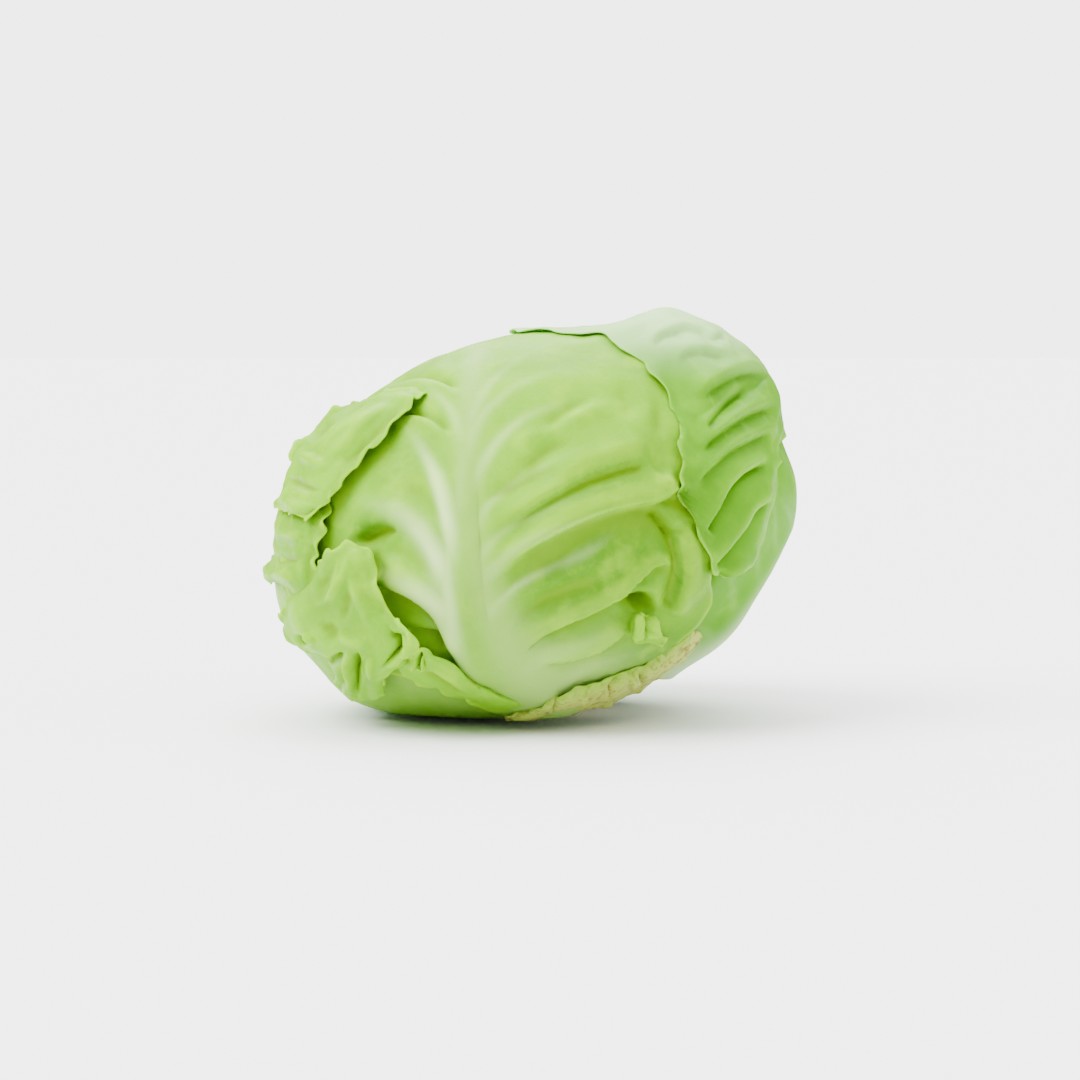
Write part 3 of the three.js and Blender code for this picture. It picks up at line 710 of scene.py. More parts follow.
TOP = {
    "rails": [
        turned(
            (222, 130), (221, 135), (218, 140), (213, 145), (205, 149), (192, 152), (174, 155), (146, 160),
        ) + seen(
            (516, 332), (550, 333), (578, 336), (602, 340), (622, 350), (638, 362), (651, 376), (662, 389),
            (669, 402), (675, 414), (681, 424), (680, 436),
        ),
        turned(
            (218, 122), (214, 110), (207, 98), (197, 90), (183, 86), (167, 86), (150, 88), (132, 92),
            (116, 98), (102, 105), (91, 112),
        ) + seen(
            (735, 372), (738, 398), (735, 425), (728, 450), (718, 470), (708, 480), (699, 480), (688, 474),
            (676, 460),
        ),
        turned(
            (213, 112), (209, 86), (204, 60), (194, 34), (172, 17), (142, 17), (126, 30), (116, 48),
            (108, 64), (103, 80), (98, 94),
        ) + seen(
            (779, 462), (776, 498), (766, 530), (754, 552), (738, 568), (718, 572), (704, 558), (694, 532),
            (678, 488),
        ),
    ],
    "midrib": turned((152, 17), (150, 40), (148, 65), (147, 90), (148, 115), (152, 138), (165, 156)),
    "drawn_veins": TOP_VEINS, "layer": 5.4, "rows": 236, "columns": 160, "seed": 23, "crowded": False,
    "veins": 0.3, "pucker": 0.8, "wave": 0.35, "rib": 1, "rim": 1, "ragged": 0.006,
    "pressed": 0.9, "tucked": 2.6,
}
RIGHT = {
    "rails": [
        turned((100, 17), (122, 36), (132, 58), (134, 80), (134, 102), (132, 122), (126, 138), (110, 148)),
        turned((66, 17)) + seen((716, 642), (756, 598), (784, 552), (802, 500))
        + turned((88, 110), (88, 128), (88, 144)),
        turned((36, 17))
        + seen((640, 640), (650, 590), (655, 540), (655, 490), (660, 440), (670, 395), (700, 360)),
    ],
    "layer": 2, "rows": 120, "columns": 120, "seed": 37,
    "veins": 0.35, "pucker": 0.35, "rib": 1.4, "rim": 0.5, "paler": 2.4,
}
LEFT = {
    "rails": [
        turned((298, 17), (318, 34), (328, 52), (328, 70), (326, 88), (322, 106), (312, 124), (290, 138)),
        turned((268, 17), (268, 34), (267, 52), (266, 70), (265, 88), (264, 106), (262, 124), (258, 140)),
        turned((232, 17), (222, 34), (214, 52), (210, 70), (208, 88), (208, 106), (214, 124), (228, 138)),
    ],
    "layer": 1.9, "rows": 120, "columns": 130, "seed": 41,
    "veins": 0.5, "pucker": 0.5, "rib": 0.55, "rib_colour": 0.55, "rim": 0.7,
}
UNDER = {
    "rails": [
        turned((352, 17), (358, 32), (358, 48), (356, 64), (352, 80), (346, 96), (338, 112), (320, 126)),
        turned((330, 17), (326, 32), (322, 48), (318, 64), (314, 80), (310, 96), (306, 112), (300, 128)),
        turned((322, 17), (304, 32), (290, 48), (284, 64), (280, 80), (277, 96), (277, 112), (283, 126)),
    ],
    "layer": 2.9, "rows": 110, "columns": 100, "seed": 53,
    "veins": 0.15, "pucker": 0.2, "rib": 0.1, "rib_colour": 0.5, "rim": 0.6,
}
BACK = {
    "rails": [
        turned((222, 17), (238, 38), (246, 60), (250, 82), (252, 104), (254, 126), (256, 144), (250, 158)),
        turned((190, 17), (190, 38), (191, 60), (192, 82), (193, 104), (194, 126), (196, 146), (200, 164)),
        turned((170, 17), (154, 38), (146, 60), (142, 82), (140, 104), (138, 126), (136, 144), (145, 158)),
    ],
    "layer": 1, "rows": 100, "columns": 100, "seed": 67,
    "veins": 0.4, "pucker": 0.3, "rib": 0.55, "rib_colour": 0.6, "rim": 0.5,
}


# Turned margins of the front leaf: nets of control points (pixel, pixel, millimetres above its blade).
UPPER_FLAP = [
    [(372, 400, 0.5), (390, 394, 1.5), (408, 390, 2), (424, 392, 1.4)],
    [(343, 405, 3.5), (372, 408, 4.6), (394, 404, 4.8), (411, 403, 4)],
    [(318, 416, 5.5), (354, 424, 6.5), (377, 424, 6.2), (396, 421, 5)],
    [(299, 436, 5), (330, 440, 7.5), (358, 446, 7), (379, 444, 5.5)],
    [(290, 450, 6.5), (316, 457, 7.5), (341, 463, 7), (359, 463, 5.5)],
    [(284, 471, 5.5), (304, 478, 6.5), (327, 482, 7), (347, 478, 5.5)],
    [(278, 492, 4), (296, 498, 6), (317, 500, 6.5), (337, 493, 5)],
    [(274, 508, 3), (288, 512, 6), (304, 516, 6.8), (329, 505, 5.5)],
    [(274, 514, 2.5), (284, 516, 5), (295, 521, 6), (308, 526, 6.5)],
]
MIDDLE_FLAP = [
    [(278, 500, 0.5), (298, 504, 2), (312, 508, 2.5), (328, 508, 2)],
    [(274, 518, 1.2), (292, 522, 3), (310, 524, 4), (325, 518, 3.5)],
    [(273, 534, 1.2), (290, 538, 4), (308, 538, 4.8), (322, 534, 4.5)],
    [(272, 549, 0.8), (288, 552, 3.5), (304, 552, 4.6), (316, 549, 4.5)],
    [(266, 562, 1), (284, 565, 4.2), (300, 568, 5), (315, 566, 5)],
    [(262, 577, 1.5), (280, 580, 4), (297, 583, 5.2), (314, 583, 5.2)],
    [(279, 588, 0), (288, 592, 2), (297, 596, 3.6), (308, 597, 4)],
    [(290, 600, -1.5), (294, 603, 0), (298, 606, 1), (304, 607, 1)],
]
LOWER_FLAP = [
    [(314, 570, 4), (326, 558, 7), (338, 550, 8.5), (349, 546, 8), (358, 549, 7), (366, 554, 4.5)],
    [(300, 586, 3.5), (319, 576, 7.5), (336, 568, 9.5), (351, 563, 9.5), (362, 563, 8.5), (371, 568, 6)],
    [(286, 603, 3), (306, 598, 6.5), (328, 594, 8.5), (350, 588, 10), (364, 588, 9), (376, 589, 7.5)],
    [(280, 618, 2.5), (299, 618, 6), (322, 616, 7.5), (346, 612, 9.5), (366, 608, 10), (384, 606, 8.5)],
    [(282, 634, 2.5), (302, 635, 4), (324, 632, 7.5), (348, 630, 8.5), (371, 624, 11), (398, 619, 9.5)],
    [(296, 648, 2), (312, 648, 5.5), (331, 646, 6.5), (352, 645, 9.5), (377, 642, 10.5), (413, 632, 11.5)],
    [(324, 656, 1.6), (331, 658, 5), (342, 658, 6), (358, 658, 7.5), (380, 656, 10), (415, 645, 11.5)],
    [(329, 669, 1.5), (337, 671, 4.5), (348, 671, 6.5), (362, 671, 5.5), (379, 668, 8), (404, 658, 10)],
    [(333, 684, 1), (341, 686, 4), (350, 685, 5), (363, 684, 4), (374, 680, 6), (388, 668, 7.5)],
    [(343, 693, -0.5), (347, 695, 2), (352, 695, 3), (364, 699, 3), (374, 697, 3.5), (380, 680, 4.5)],
]
BASE_BAND = [
    [(392, 664, 3), (404, 652, 8.5), (414, 647, 10), (420, 652, 8.5), (416, 664, 7)],
    [(398, 672, 2.5), (414, 662, 6.5), (424, 655, 9), (428, 656, 8), (424, 662, 6)],
    [(415, 680, 1.5), (428, 672, 5), (440, 663, 7.5), (444, 662, 6.5), (440, 664, 4.5)],
    [(440, 690, 1), (450, 684, 4), (461, 677, 6), (464, 675, 5), (458, 674, 3)],
    [(465, 701, 0.5), (472, 696, 3), (481, 691, 5), (484, 689, 4), (478, 686, 2)],
    [(490, 709, 0), (496, 705, 2), (503, 700, 3.5), (506, 698, 2.5), (500, 695, 1)],
    [(520, 712, 0), (524, 709, 1), (530, 705, 2), (533, 703, 1.5), (528, 700, 0)],
]
TORN_EDGE = [
    [(504, 719, 2), (508, 717, 3.4), (513, 714, 3.6), (518, 711, 2)],
    [(524, 720, 2.5), (527, 716, 4.4), (531, 711, 5), (536, 705, 3.4)],
    [(546, 717, 2.5), (548, 711, 5.4), (551, 704, 6.6), (553, 695, 5.2)],
    [(570, 713, 2.5), (571, 704, 6), (572, 695, 7), (574, 686, 5.6)],
    [(596, 707, 2.4), (596, 697, 5), (596, 689, 5.6), (596, 680, 4.2)],
    [(622, 699, 2), (620, 689, 4), (619, 682, 4), (618, 674, 2.6)],
    [(650, 686, 1.8), (648, 677, 3.2), (646, 671, 3), (644, 664, 1.4)],
    [(670, 672, 1.4), (668, 666, 2.4), (666, 660, 2), (663, 652, 0.8)],
    [(687, 657, 0.8), (685, 653, 1.4), (682, 648, 1), (678, 643, 0.2)],
    [(703, 637, -0.4), (701, 634, 0), (698, 631, -0.2), (696, 628, -0.8)],
]
CRUMPLED_BIT = [
    [(634, 613, -1.5), (640, 609, 1), (648, 610, 1.5), (656, 613, 0)],
    [(631, 619, 0), (640, 617, 4), (648, 618, 4.5), (657, 619, 1)],
    [(630, 626, 0), (640, 625, 4.5), (649, 626, 5), (660, 627, 1.5)],
    [(632, 634, 0), (641, 633, 3.5), (651, 634, 4), (664, 635, 1)],
    [(637, 642, -1), (645, 641, 1), (657, 642, 1), (671, 644, -1)],
]

# Folds and pleats of the turned margins, drawn like those of the leaves.
FLAP_FOLDS = [
    # Upper margin.
    ([(392, 404), (366, 420), (344, 446), (318, 470)], 6, 7, 1),
    ([(404, 404), (386, 424), (360, 448), (338, 474)], 5, 6, -0.9),
    ([(330, 414), (322, 430), (306, 442)], 5, 6, -1),
    ([(296, 452), (316, 462), (330, 468)], 5, 6, 0.9),
    ([(286, 476), (304, 486), (326, 492)], 5, 6, -1),
    ([(284, 500), (300, 508), (318, 506)], 5, 4, 0.8),
    # Middle margin.
    ([(277, 530), (290, 536), (306, 534)], 5, 5, 0.9),
    ([(274, 556), (288, 560), (306, 556)], 5, 5, -1.1),
    ([(264, 576), (284, 575), (300, 578)], 5, 4, 1),
    ([(312, 544), (309, 566), (310, 590)], 4, 4, -1),
    # Lower margin.
    ([(348, 556), (346, 576), (332, 596), (312, 608)], 5, 5, 1.4),
    ([(352, 566), (356, 586), (364, 606), (370, 628)], 5, 5, 1),
    ([(338, 558), (330, 576), (316, 592)], 5, 6, -1.1),
    ([(349, 584), (346, 604), (343, 622)], 6, 6, -1.2),
    ([(300, 632), (302, 640), (309, 643)], 4, 4, -3.2),
    ([(306, 630), (313, 636), (316, 644)], 3, 4, 1.4),
    ([(318, 622), (330, 632), (336, 644)], 7, 6, -1.6),
    ([(338, 632), (354, 641), (372, 641)], 6, 5, 1.6),
    ([(351, 648), (350, 668), (351, 692)], 4.5, 3.5, 2),
    ([(358, 650), (357, 670), (358, 696)], 3.5, 5, -3.6),
    ([(346, 650), (338, 656), (328, 663)], 4, 4, -2),
    ([(342, 664), (341, 680), (343, 694)], 4, 4, -1.5),
    ([(374, 652), (372, 664), (374, 682)], 4, 5, 1.3),
    # Crumpled bit below the hole.
    ([(638, 613), (641, 624), (637, 637)], 2.4, 2.4, 1.8),
    ([(644, 611), (646, 624), (644, 639)], 2.2, 2.2, -2.6),
    ([(651, 612), (650, 625), (656, 639)], 2.4, 2.4, 1.8),
    ([(655, 619), (658, 627), (666, 638)], 2.2, 2.2, -2),
    ([(634, 629), (646, 633), (658, 631)], 2.2, 2.2, 1.2),
    # Torn edge: short wrinkles across it.
    ([(560, 690), (556, 702), (552, 714)], 3, 3, -1.4),
    ([(586, 684), (584, 694), (582, 706)], 3, 4, 1),
    ([(612, 676), (611, 686), (608, 697)], 3, 3, -1.4),
    ([(634, 670), (633, 680), (632, 690)], 3, 3, 1),
    ([(640, 668), (641, 678), (642, 686)], 3, 3, -1.4),
    # The ear at its right end: a rolled edge round a deep crease.
    ([(390, 619), (404, 623), (413, 633), (412, 645), (402, 655), (388, 664), (378, 672)], 4.5, 4.5, 1.8),
    ([(390, 626), (393, 634), (400, 638), (400, 648), (391, 658), (382, 666)], 3.5, 3.5, -3.6),
    ([(404, 632), (406, 640), (403, 647)], 3, 3, 1),
    # Band below it, with a small curl at its left end.
    ([(410, 651), (406, 658), (408, 665)], 3, 3, -2.6),
    ([(414, 656), (415, 661), (412, 665)], 3, 3, 1.6),
    ([(419, 652), (421, 660), (418, 667)], 3, 3, -2.2),
    ([(430, 664), (450, 674), (470, 690)], 4, 5, 0.9),
    ([(420, 670), (440, 679), (462, 694)], 4, 5, -1),
]
NET_WRINKLES = ((19, 0.6), (7.5, 0.3))  # wavelength and rise: the wide ones, then the tight ones
EDGE_WRINKLES = {"gain": 1.4, "band": 12}  # the tight ones grow towards the edge
FOLD_GAIN = 1.6
TORN = {"length": 6, "reach": 0.5, "band": 4}
# Painted shade and light: the reaches and depth over which the turned margins' hollows are shaded and their
# ridges lit in colour.
NET_HOLLOWS = {"near": 5, "far": 12, "far_share": 1, "depth": 1.3}
# Painted highlight: the turned margins are tinted lighter within this distance of their edges, where the
# edges catch the light.
NET_RIM = (2.4, 0.2)
DRY_BAND = (-0.4, 0.8)
NET_HALF = 0.45


def net_shell(net, rows, columns, seed, crumple, rim=1, brown=0, green=0, half=NET_HALF):
    """A sheet splined through a net of control points over the front leaf."""
    controls = np.empty((len(net), len(net[0]), 3))
    for j, row in enumerate(net):
        for i, (px, py, lift) in enumerate(row):
            place = seen_at(px, py, lift)[None]
            base = FRONT["layer"] * LAYER_STEP + swelling_field(place) + press_field(place)
            controls[j, i] = on_head(place, base + lift)[0][0]
    along = catmull(controls, np.linspace(0, 1, rows + 1))
    middle = catmull(along.swapaxes(0, 1), np.linspace(0, 1, columns + 1)).swapaxes(0, 1)
    middle = np.ascontiguousarray(middle)
    normal = grid_normals(middle)
    inside = margin_distance(middle)
    wide, tight = [ripples(middle, size, seed + i) * rise for i, (size, rise) in enumerate(NET_WRINKLES)]
    wrinkles = wide + tight * (EDGE_WRINKLES["gain"] - smooth(0, EDGE_WRINKLES["band"], inside))
    relief = crumple * wrinkles + FOLD_GAIN * drawn_rise(FLAP_FOLDS, pixels_of(middle))
    torn = TORN["reach"] * smooth(TORN["band"], 0, inside)
    middle = middle + ragged(middle, TORN["length"], seed + 2) * torn[..., None]
    middle = above_floor(middle + normal * relief[..., None])
    across = np.broadcast_to(np.linspace(1, 0, columns + 1), relief.shape)
    attributes = attribute_values(
        relief.shape,
        # Painted shade in the hollows of the relief and painted light on its ridges.
        hollow=hollows(relief, **NET_HOLLOWS),
        # Painted highlight along the margins.
        rim=smooth(*NET_RIM, inside) * rim,
        brown=brown * smooth(*DRY_BAND, across),
        green=np.full(relief.shape, float(green)),
    )
    return shell(middle, np.zeros(relief.shape), attributes, half, NET_MARGIN)


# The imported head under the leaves: inner leaves lap over each other in a spiral.
PACKED = {"rings": 110, "foot_rings": 12, "sides": 220, "inset": 0.7, "step": 0.9, "leaves": 6, "twist": 0.7}
PACKED_ENDS = (0.5, 179.5)
SOCKET = (14, 16)
STEM_SUNK = 4.5


def packed_shell():
    sides = PACKED["sides"]
    foot_angles = np.linspace(PACKED_ENDS[0], SOCKET[1], PACKED["foot_rings"])
    angles = np.concatenate([foot_angles, np.linspace(SOCKET[1], PACKED_ENDS[1], PACKED["rings"])[1:]])
    bearings = np.arange(sides) * 360 / sides
    stem, bearing = np.meshgrid(np.radians(angles), np.radians(bearings), indexing="ij")
    place = np.stack([np.sin(stem) * np.sin(bearing), -np.sin(stem) * np.cos(bearing), -np.cos(stem)], -1)
    lap = (np.degrees(bearing) + PACKED["twist"] * np.degrees(stem)) / 360 * PACKED["leaves"]
    step = PACKED["step"] * (lap - np.floor(lap)) * np.sin(stem)
    sunk = STEM_SUNK * smooth(SOCKET[1], SOCKET[0], np.degrees(stem))
    carried = fold_field(place) + swelling_field(place) + press_field(place)
    skin, _ = on_head(place, carried - PACKED["inset"] - sunk - step)
    points = np.concatenate([skin.reshape(-1, 3), [skin[0].mean(0), skin[-1].mean(0)]])
    ids = np.arange(skin[..., 0].size).reshape(skin.shape[:2])
    turns = range(0, sides, 2)
    foot = [[ids.size, ids[0, (k + 2) % sides], ids[0, (k + 1) % sides], ids[0, k]] for k in turns]
    top = [[ids.size + 1, ids[-1, k], ids[-1, k + 1], ids[-1, (k + 2) % sides]] for k in turns]
    return points, np.concatenate([ring_faces(ids), foot, top]), attribute_values(len(points))


# The cut stem: a stub with a rough, slightly dished cut face. Its edges are small steps, each given as how
# far it is in from the wall and how far it is from the end.
STEM = {"radius": 17.5, "face": 58.3, "top": 52.5, "sides": 120, "rings": 40, "wall_rings": 8, "core": 0.4}
FACE_EDGE = [(1, 0), (0.3, 0.35), (0, 1), (0, 1.6)]
TOP_EDGE = [(0, 1.2), (1.5, 0.6)]
CUT_DEPTH = 0.5
DISH = {"depth": 0.5, "core": 4}
SAW_MARKS = {"length": 3.2, "depth": 0.12, "seed": 71}
SKIN_BAND = (0.8, 1)
DRY_EDGE = (0.25, 0.95)


def stem_profile():
    """Radius and height of the stub's outline, from the middle of its face to the middle of its top."""
    wall, face, top = STEM["radius"], -STEM["face"], -STEM["top"]
    inset, rise = FACE_EDGE[0]
    profile = [(radius, face + rise) for radius in np.linspace(STEM["core"], wall - inset, STEM["rings"])]
    profile += [(wall - inset, face + rise) for inset, rise in FACE_EDGE[1:-1]]
    heights = np.linspace(face + FACE_EDGE[-1][1], top - TOP_EDGE[0][1], STEM["wall_rings"])
    profile += [(wall, height) for height in heights]
    inset, drop = TOP_EDGE[1]
    profile += [(wall - inset, top - drop), (STEM["core"], top)]
    return np.array(profile)


def stem_shell():
    sides = STEM["sides"]
    radius, pole = stem_profile().T
    turn = np.arange(sides) * 2 * math.pi / sides
    local = np.stack(np.broadcast_arrays(
        radius[:, None] * np.sin(turn), -radius[:, None] * np.cos(turn), pole[:, None]
    ), -1)
    ring = np.hypot(local[..., 0], local[..., 1])
    cut = smooth(-STEM["face"] + CUT_DEPTH, -STEM["face"], local[..., 2])
    dish = DISH["depth"] * smooth(STEM["radius"], DISH["core"], ring)
    marks = SAW_MARKS["depth"] * np.abs(ripples(local, SAW_MARKS["length"], SAW_MARKS["seed"]))
    local[..., 2] += cut * (dish + marks)
    points = (HEAD_MIDDLE + local @ HEAD_AXES).reshape(-1, 3)
    ids = np.arange(len(points)).reshape(len(radius), sides)
    ends = [ids[0, ::sides // 4][::-1], ids[-1, ::sides // 4]]
    out = ring / STEM["radius"]
    rim, brown = smooth(*SKIN_BAND, out), cut * smooth(*DRY_EDGE, out)
    values = attribute_values(len(points), rim=rim.reshape(-1), brown=brown.reshape(-1))
    return points, np.concatenate([ring_faces(ids), ends]), values


# Materials.
def srgb(red, green, blue):
    """A colour as seen on screen, 0 to 255, as linear light, by the curve of the sRGB standard."""
    shares = [value / 255 for value in (red, green, blue)]
    linear = [s / 12.92 if s <= 0.04045 else ((s + 0.055) / 1.055) ** 2.4 for s in shares]
    return (*linear, 1)


class Graph:
    """Short calls for the nodes of one material, or of the world."""

    def __init__(self, owner, coordinates="Object"):
        owner.use_nodes = True
        self.nodes = owner.node_tree.nodes
        self.links = owner.node_tree.links
        self.nodes.clear()
        self.place = self.node("TexCoord").outputs[coordinates]

    def node(self, kind, inputs=(), **settings):
        node = self.nodes.new("ShaderNode" + kind)
        for name, setting in settings.items():
            setattr(node, name, setting)
        for key, value in dict(inputs).items():
            if isinstance(value, bpy.types.NodeSocket):
                self.links.new(value, node.inputs[key])
            else:
                node.inputs[key].default_value = value
        return node

    def finish(self, kind, inputs):
        """The last shader and its output."""
        output = "OutputWorld" if kind == "Background" else "OutputMaterial"
        self.node(output, {"Surface": self.node(kind, inputs).outputs[0]})

    def attribute(self, name):
        return self.node("Attribute", attribute_name=name).outputs["Fac"]

    def noise(self, scale, detail=2, rough=0.5, output="Fac"):
        inputs = {"Scale": scale, "Detail": detail, "Roughness": rough, "Vector": self.place}
        return self.node("TexNoise", inputs).outputs[output]

    def math(self, operation, *values):
        return self.node("Math", enumerate(values), operation=operation).outputs[0]

    def range(self, value, low, high, start=0.0, end=1.0):
        inputs = {"Value": value, "From Min": low, "From Max": high, "To Min": start, "To Max": end}
        return self.node("MapRange", inputs, interpolation_type="SMOOTHSTEP").outputs["Result"]

    def blend(self, share, first, second):
        """A mix of two colours, which are the node's inputs 6 and 7 and its output 2."""
        inputs = {"Factor": share, 6: first, 7: second}
        return self.node("Mix", inputs, data_type="RGBA").outputs[2]

    def height(self):
        return self.node("SeparateXYZ", {0: self.place}).outputs["Z"]

    def cells(self, scale):
        """Distance from the edges of uneven cells."""
        noise = self.noise(scale * CELL_WARP["scale"], output="Color")
        inputs = {0: noise, 1: (CELL_WARP["reach"] / scale,) * 3, 2: self.place}
        shifted = self.node("VectorMath", inputs, operation="MULTIPLY_ADD").outputs[0]
        inputs = {"Scale": scale, "Vector": shifted}
        return self.node("TexVoronoi", inputs, feature="DISTANCE_TO_EDGE").outputs["Distance"]

    def bump(self, height, strength, distance, **under):
        inputs = {"Height": height, "Strength": strength, "Distance": distance} | under
        return self.node("Bump", inputs).outputs["Normal"]


# Linear colours of each kind of leaf, and how much paler it grows towards the top of the head, as painted
# light from above.
LEAF_COLOURS = {
    "outer_leaf_wax": {
        "blade": (0.165, 0.4, 0.0005, 1), "deep": (0.06, 0.2, 0, 1), "pale": (0.27, 0.52, 0.002, 1),
        "vein": (0.58, 0.8, 0.32, 1), "rib": (0.27, 0.43, 0.1, 1), "rim": (0.26, 0.52, 0.002, 1),
        "painted_crease_shade": (0.14, 0.29, 0, 1), "painted_top_light": 0.15,
    },
    "top_leaf_wax": {
        "blade": (0.09, 0.28, 0.001, 1), "deep": (0.05, 0.18, 0, 1), "pale": (0.16, 0.4, 0.003, 1),
        "vein": (0.24, 0.48, 0.07, 1), "rib": (0.17, 0.36, 0.05, 1), "rim": (0.2, 0.44, 0.02, 1),
        "painted_crease_shade": (0.045, 0.16, 0.0002, 1), "painted_top_light": 0.95,
    },
    "side_leaf_wax": {
        "blade": (0.085, 0.28, 0.001, 1), "deep": (0.06, 0.22, 0.0005, 1), "pale": (0.17, 0.41, 0.01, 1),
        "vein": (0.24, 0.47, 0.08, 1), "rib": (0.6, 0.78, 0.42, 1), "rim": (0.2, 0.43, 0.03, 1),
        "painted_crease_shade": (0.04, 0.16, 0.0005, 1), "painted_top_light": 0.3,
    },
    "inner_leaf_wax": {
        "blade": (0.17, 0.38, 0.02, 1), "deep": (0.13, 0.33, 0.01, 1), "pale": (0.26, 0.48, 0.06, 1),
        "vein": (0.3, 0.5, 0.1, 1), "rib": (0.3, 0.45, 0.12, 1), "rim": (0.26, 0.48, 0.04, 1),
        "painted_crease_shade": (0.07, 0.2, 0.002, 1), "painted_top_light": 0,
    },
}
# The tints laid over a blade, in order: what masks each, from where to where it grows (or None, for the mask
# as it is), how much of it there is at most, and its name.
TINT_LAYERS = (
    ("clouds", (0.4, 0.7), 0.4, "deep"),
    ("green", None, 1.0, "deep"),
    # Painted shade on the front leaf's marked patches; on two turned margins, a uniform deeper green.
    ("patches", (0.5, 0.72), 0.4, "pale"),
    ("streaks", (0.45, 0.75), 0.12, "pale"),
    ("cells", (0.09, 0.0), 0.025, "vein"),
    # Painted light: relief standing above its surroundings is tinted paler.
    ("hollow", (-0.1, -0.6), 0.35, "pale"),
    ("vein", None, 0.75, "vein"),
    ("midrib", (0.0, 1.0), 0.6, "rib"),
    ("base", None, 0.7, "rib"),
    # Painted shade: hollows in the relief are tinted a dark saturated green.
    ("hollow", (0.08, 0.9), 0.85, "painted_crease_shade"),
    # Painted highlight: the margins are tinted lighter.
    ("rim", None, 0.7, "rim"),
)
# A noise has its scale, its detail and, where it is not plain, its roughness.
LEAF_NOISES = {"clouds": (30, 2), "patches": (85, 3, 0.55), "streaks": (190, 3, 0.6)}
LEAF_CELLS = 230
CELL_WARP = {"scale": 0.6, "reach": 0.5}
# Painted light from above: the leaves turn paler between these heights, towards the top of the head.
PAINTED_TOP_LIGHT_HEIGHTS = (0.11, 0.134)  # metres
PAINTED_TOP_LIGHT_COLOUR = (0.36, 0.62, 0.22, 1)
DRY = {"green": srgb(178, 186, 84), "brown": srgb(126, 104, 52), "noise": (420, 4, 0.7), "band": (0.48, 0.66)}
WAX = {"streaks": (0.3, 0.7), "roughness": (0.36, 0.5), "specular": 0.04, "subsurface": 0.35}
BUMP_HEIGHT = 0.0006  # metres
BUMPS = {"cells": 0.18, "streaks": 0.12}
SUBSURFACE_RADIUS = (0.0022, 0.0034, 0.0006)  # metres, for red, green and blue light


def leaf_material(name):
    """Waxy leaf: cloudy blade, pale ribs and veins; painted shade in hollows and shaded patches, painted
    light on ridges, margins and top.
    """
    material = bpy.data.materials.new(name)
    graph = Graph(material)
    tints = LEAF_COLOURS[name]
    masks = {mask: graph.noise(*noise) for mask, noise in LEAF_NOISES.items()}
    masks |= {attribute: graph.attribute(attribute) for attribute in ATTRIBUTES}
    masks["cells"] = graph.cells(LEAF_CELLS)
    colour = tints["blade"]
    for mask, band, most, tint in TINT_LAYERS:
        if band:
            share = graph.range(masks[mask], *band, 0, most)
        else:
            share = graph.math("MULTIPLY", masks[mask], most)
        colour = graph.blend(share, colour, tints[tint])
    # Painted light: the blade is blended paler towards the top of the head.
    painted_top_light = graph.range(graph.height(), *PAINTED_TOP_LIGHT_HEIGHTS, 0, tints["painted_top_light"])
    colour = graph.blend(painted_top_light, colour, PAINTED_TOP_LIGHT_COLOUR)
    flecks = graph.range(graph.noise(*DRY["noise"]), *DRY["band"])
    colour = graph.blend(masks["brown"], colour, graph.blend(flecks, DRY["green"], DRY["brown"]))
    relief = graph.bump(masks["cells"], BUMPS["cells"], BUMP_HEIGHT)
    relief = graph.bump(masks["streaks"], BUMPS["streaks"], BUMP_HEIGHT, Normal=relief)
    graph.finish("BsdfPrincipled", {
        "Base Color": colour,
        "Roughness": graph.range(masks["streaks"], *WAX["streaks"], *WAX["roughness"]),
        "Specular IOR Level": WAX["specular"],
        "Subsurface Weight": WAX["subsurface"],
        "Subsurface Radius": SUBSURFACE_RADIUS,
        "Subsurface Scale": 1.0,
        "Normal": relief,
    })
    return material


PITH = {"pale": srgb(226, 229, 190), "dark": srgb(192, 200, 140), "noise": (700, 4, 0.7), "band": (0.35, 0.7)}
BARK = {"brown": srgb(170, 140, 86), "green": srgb(160, 176, 96), "noise": (220, 4, 0.6), "band": (0.4, 0.7)}
BARK_GREEN_SHARE = 0.5
STEM_FINISH = {"roughness": 0.7, "subsurface": 0.2, "bump": (0.4, 0.0008)}


def stem_material():
    """Cut stem: off-white pith with fibres round it and a dry brown edge."""
    material = bpy.data.materials.new("cut_stem_fibre")
    graph = Graph(material)
    fibres = graph.noise(*PITH["noise"])
    colour = graph.blend(graph.range(fibres, *PITH["band"]), PITH["pale"], PITH["dark"])
    worn = graph.range(graph.noise(*BARK["noise"]), *BARK["band"])
    colour = graph.blend(graph.math("MULTIPLY", graph.attribute("brown"), worn), colour, BARK["brown"])
    skin = graph.math("MULTIPLY", graph.attribute("rim"), BARK_GREEN_SHARE)
    graph.finish("BsdfPrincipled", {
        "Base Color": graph.blend(skin, colour, BARK["green"]),
        "Roughness": STEM_FINISH["roughness"],
        "Subsurface Weight": STEM_FINISH["subsurface"],
        "Subsurface Radius": SUBSURFACE_RADIUS,
        "Subsurface Scale": 1.0,
        "Normal": graph.bump(fibres, *STEM_FINISH["bump"]),
    })
    return material


# Each turned margin: its net, the rows, columns and seed of its sheet, and what else is not plain.
MARGINS = (
    (UPPER_FLAP, 120, 56, 81, {"crumple": 0.7}),
    (MIDDLE_FLAP, 76, 40, 86, {"crumple": 0.6, "green": 0.35}),
    (LOWER_FLAP, 170, 130, 91, {"crumple": 0.7, "green": 0.1}),
    (BASE_BAND, 110, 56, 101, {"crumple": 0.4}),
    (TORN_EDGE, 150, 30, 111, {"crumple": 0.5, "rim": 0.3, "brown": 0.9, "half": 0.6}),
    (CRUMPLED_BIT, 60, 44, 121, {"crumple": 0.6}),
)


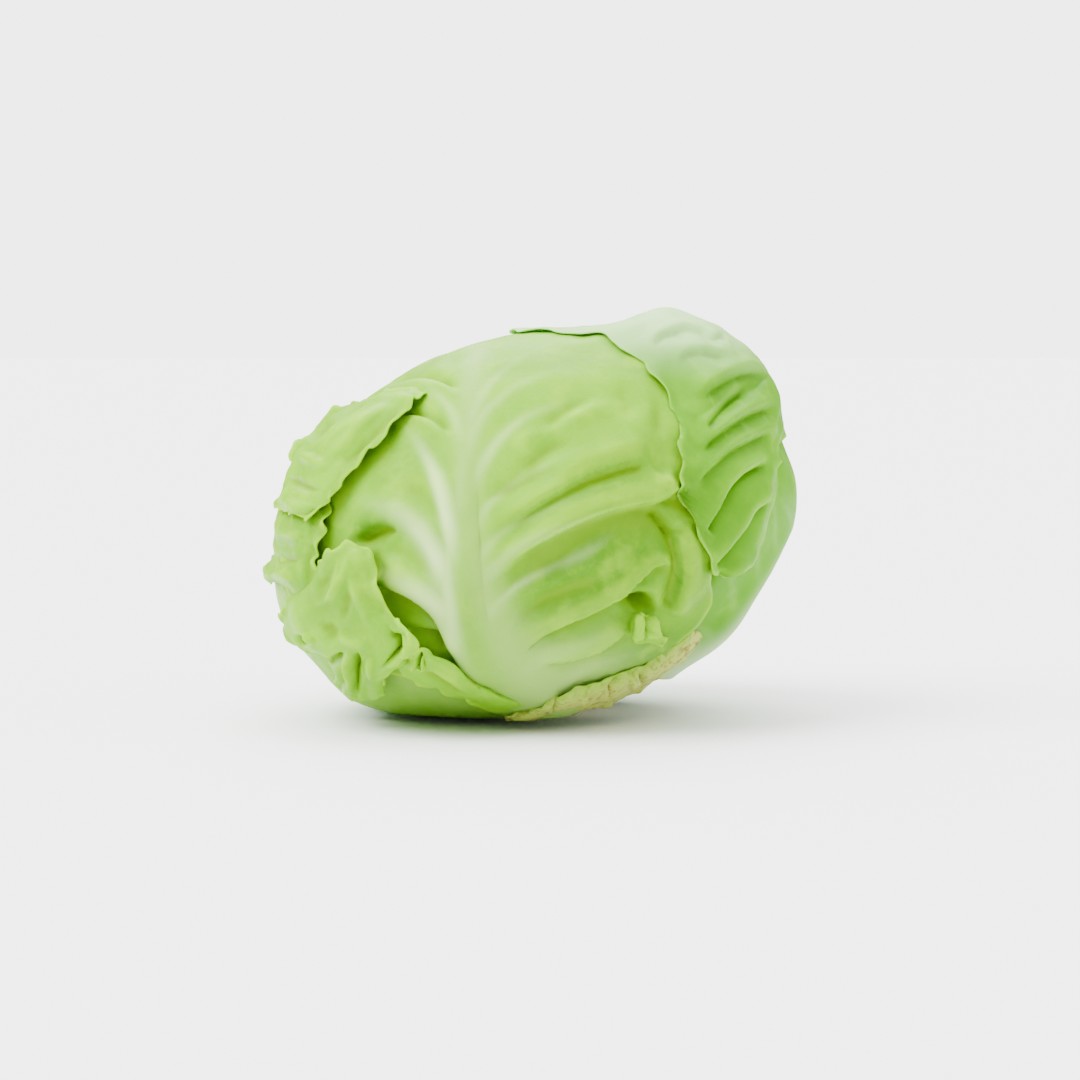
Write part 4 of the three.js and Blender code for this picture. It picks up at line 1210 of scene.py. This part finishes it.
def build_cabbage():
    outer, over, side, inner = [leaf_material(name) for name in LEAF_COLOURS]
    make_piece("front_leaf", [leaf_shell(FRONT)], outer, "leaf_front")
    margins = [net_shell(*sheet, **rest) for *sheet, rest in MARGINS]
    make_piece("front_leaf_margins", margins, outer, "leaf_front")
    for name, leaf, material, node in (
        ("top_leaf", TOP, over, "leaf_over_top"),
        ("right_leaf", RIGHT, side, "leaf_right"),
        ("left_leaf", LEFT, side, "leaf_left"),
        ("under_leaf", UNDER, inner, "leaf_under"),
        ("back_leaf", BACK, side, "leaf_back"),
    ):
        make_piece(name, [leaf_shell(leaf)], material, node)
    make_piece("inner_head", [packed_shell()], inner, "packed_head")
    make_piece("stem_stub", [stem_shell()], stem_material(), "cut_stem")


# Stage, light and camera.
FLOOR = {"half": 8.0, "white": (0.93, 0.93, 0.93, 1), "roughness": 0.9, "specular": 0.1}
SKY = {"level": 0.4, "overhead": 6.0, "power": 3, "seen": 4.4}
# Each light's name, where it shines from, its strength and its spread in degrees.
SUNS = (
    ("overhead_softbox", (-0.95, -0.35, 1.2), 6.5, 45),
    ("back_softbox", (-0.1, 0.9, 0.9), 3.5, 45),
    ("right_wall", (1.0, -0.25, 0.12), 1.3, 80),
)
SENSOR_WIDTH = 36
FARTHEST_SEEN = 50  # metres


def add_floor():
    half = FLOOR["half"]
    mesh = bpy.data.meshes.new("floor")
    corners = [(-half, -half, 0), (half, -half, 0), (half, half, 0), (-half, half, 0)]
    mesh.from_pydata(corners, [], [(0, 1, 2, 3)])
    material = bpy.data.materials.new("white_paper_floor")
    Graph(material).finish("BsdfPrincipled", {
        "Base Color": FLOOR["white"],
        "Roughness": FLOOR["roughness"],
        "Specular IOR Level": FLOOR["specular"],
    })
    mesh.materials.append(material)
    floor = placed("floor", mesh)


def add_sun(name, location, strength, spread_deg):
    """A soft light that shines from its location towards the origin."""
    light = bpy.data.lights.new(name, "SUN")
    light.energy = strength
    light.angle = math.radians(spread_deg)
    lamp = placed(name, light)
    lamp.location = location
    x, y, z = location
    lamp.rotation_euler = (math.atan2(math.hypot(x, y), z), 0, math.atan2(x, -y))


def add_world():
    """A white studio: soft light that is strongest overhead, in front of a plain white wall."""
    world = bpy.data.worlds.new("white_studio")
    graph = Graph(world, "Generated")
    height = graph.math("POWER", graph.math("MAXIMUM", graph.height(), 0), SKY["power"])
    light = graph.math("MULTIPLY_ADD", height, SKY["overhead"], SKY["level"])
    seen_by_camera = graph.node("LightPath").outputs["Is Camera Ray"]
    extra = graph.math("MULTIPLY", seen_by_camera, graph.math("SUBTRACT", SKY["seen"], light))
    strength = graph.math("ADD", light, extra)
    graph.finish("Background", {"Color": (1, 1, 1, 1), "Strength": strength})
    bpy.context.scene.world = world


def add_camera():
    data = bpy.data.cameras.new("front_view")
    data.sensor_width = SENSOR_WIDTH
    data.lens = SENSOR_WIDTH * SIGHT_DISTANCE * PIXELS_PER_MM / VIEW_PIXELS
    data.clip_end = FARTHEST_SEEN
    camera = placed("front_view", data)
    camera.location = EYE * MM
    camera.rotation_euler = (math.pi / 2 - SIGHT_ELEVATION, 0, 0)
    bpy.context.scene.camera = camera


build_cabbage()
add_floor()
add_world()
for sun in SUNS:
    add_sun(*sun)
add_camera()
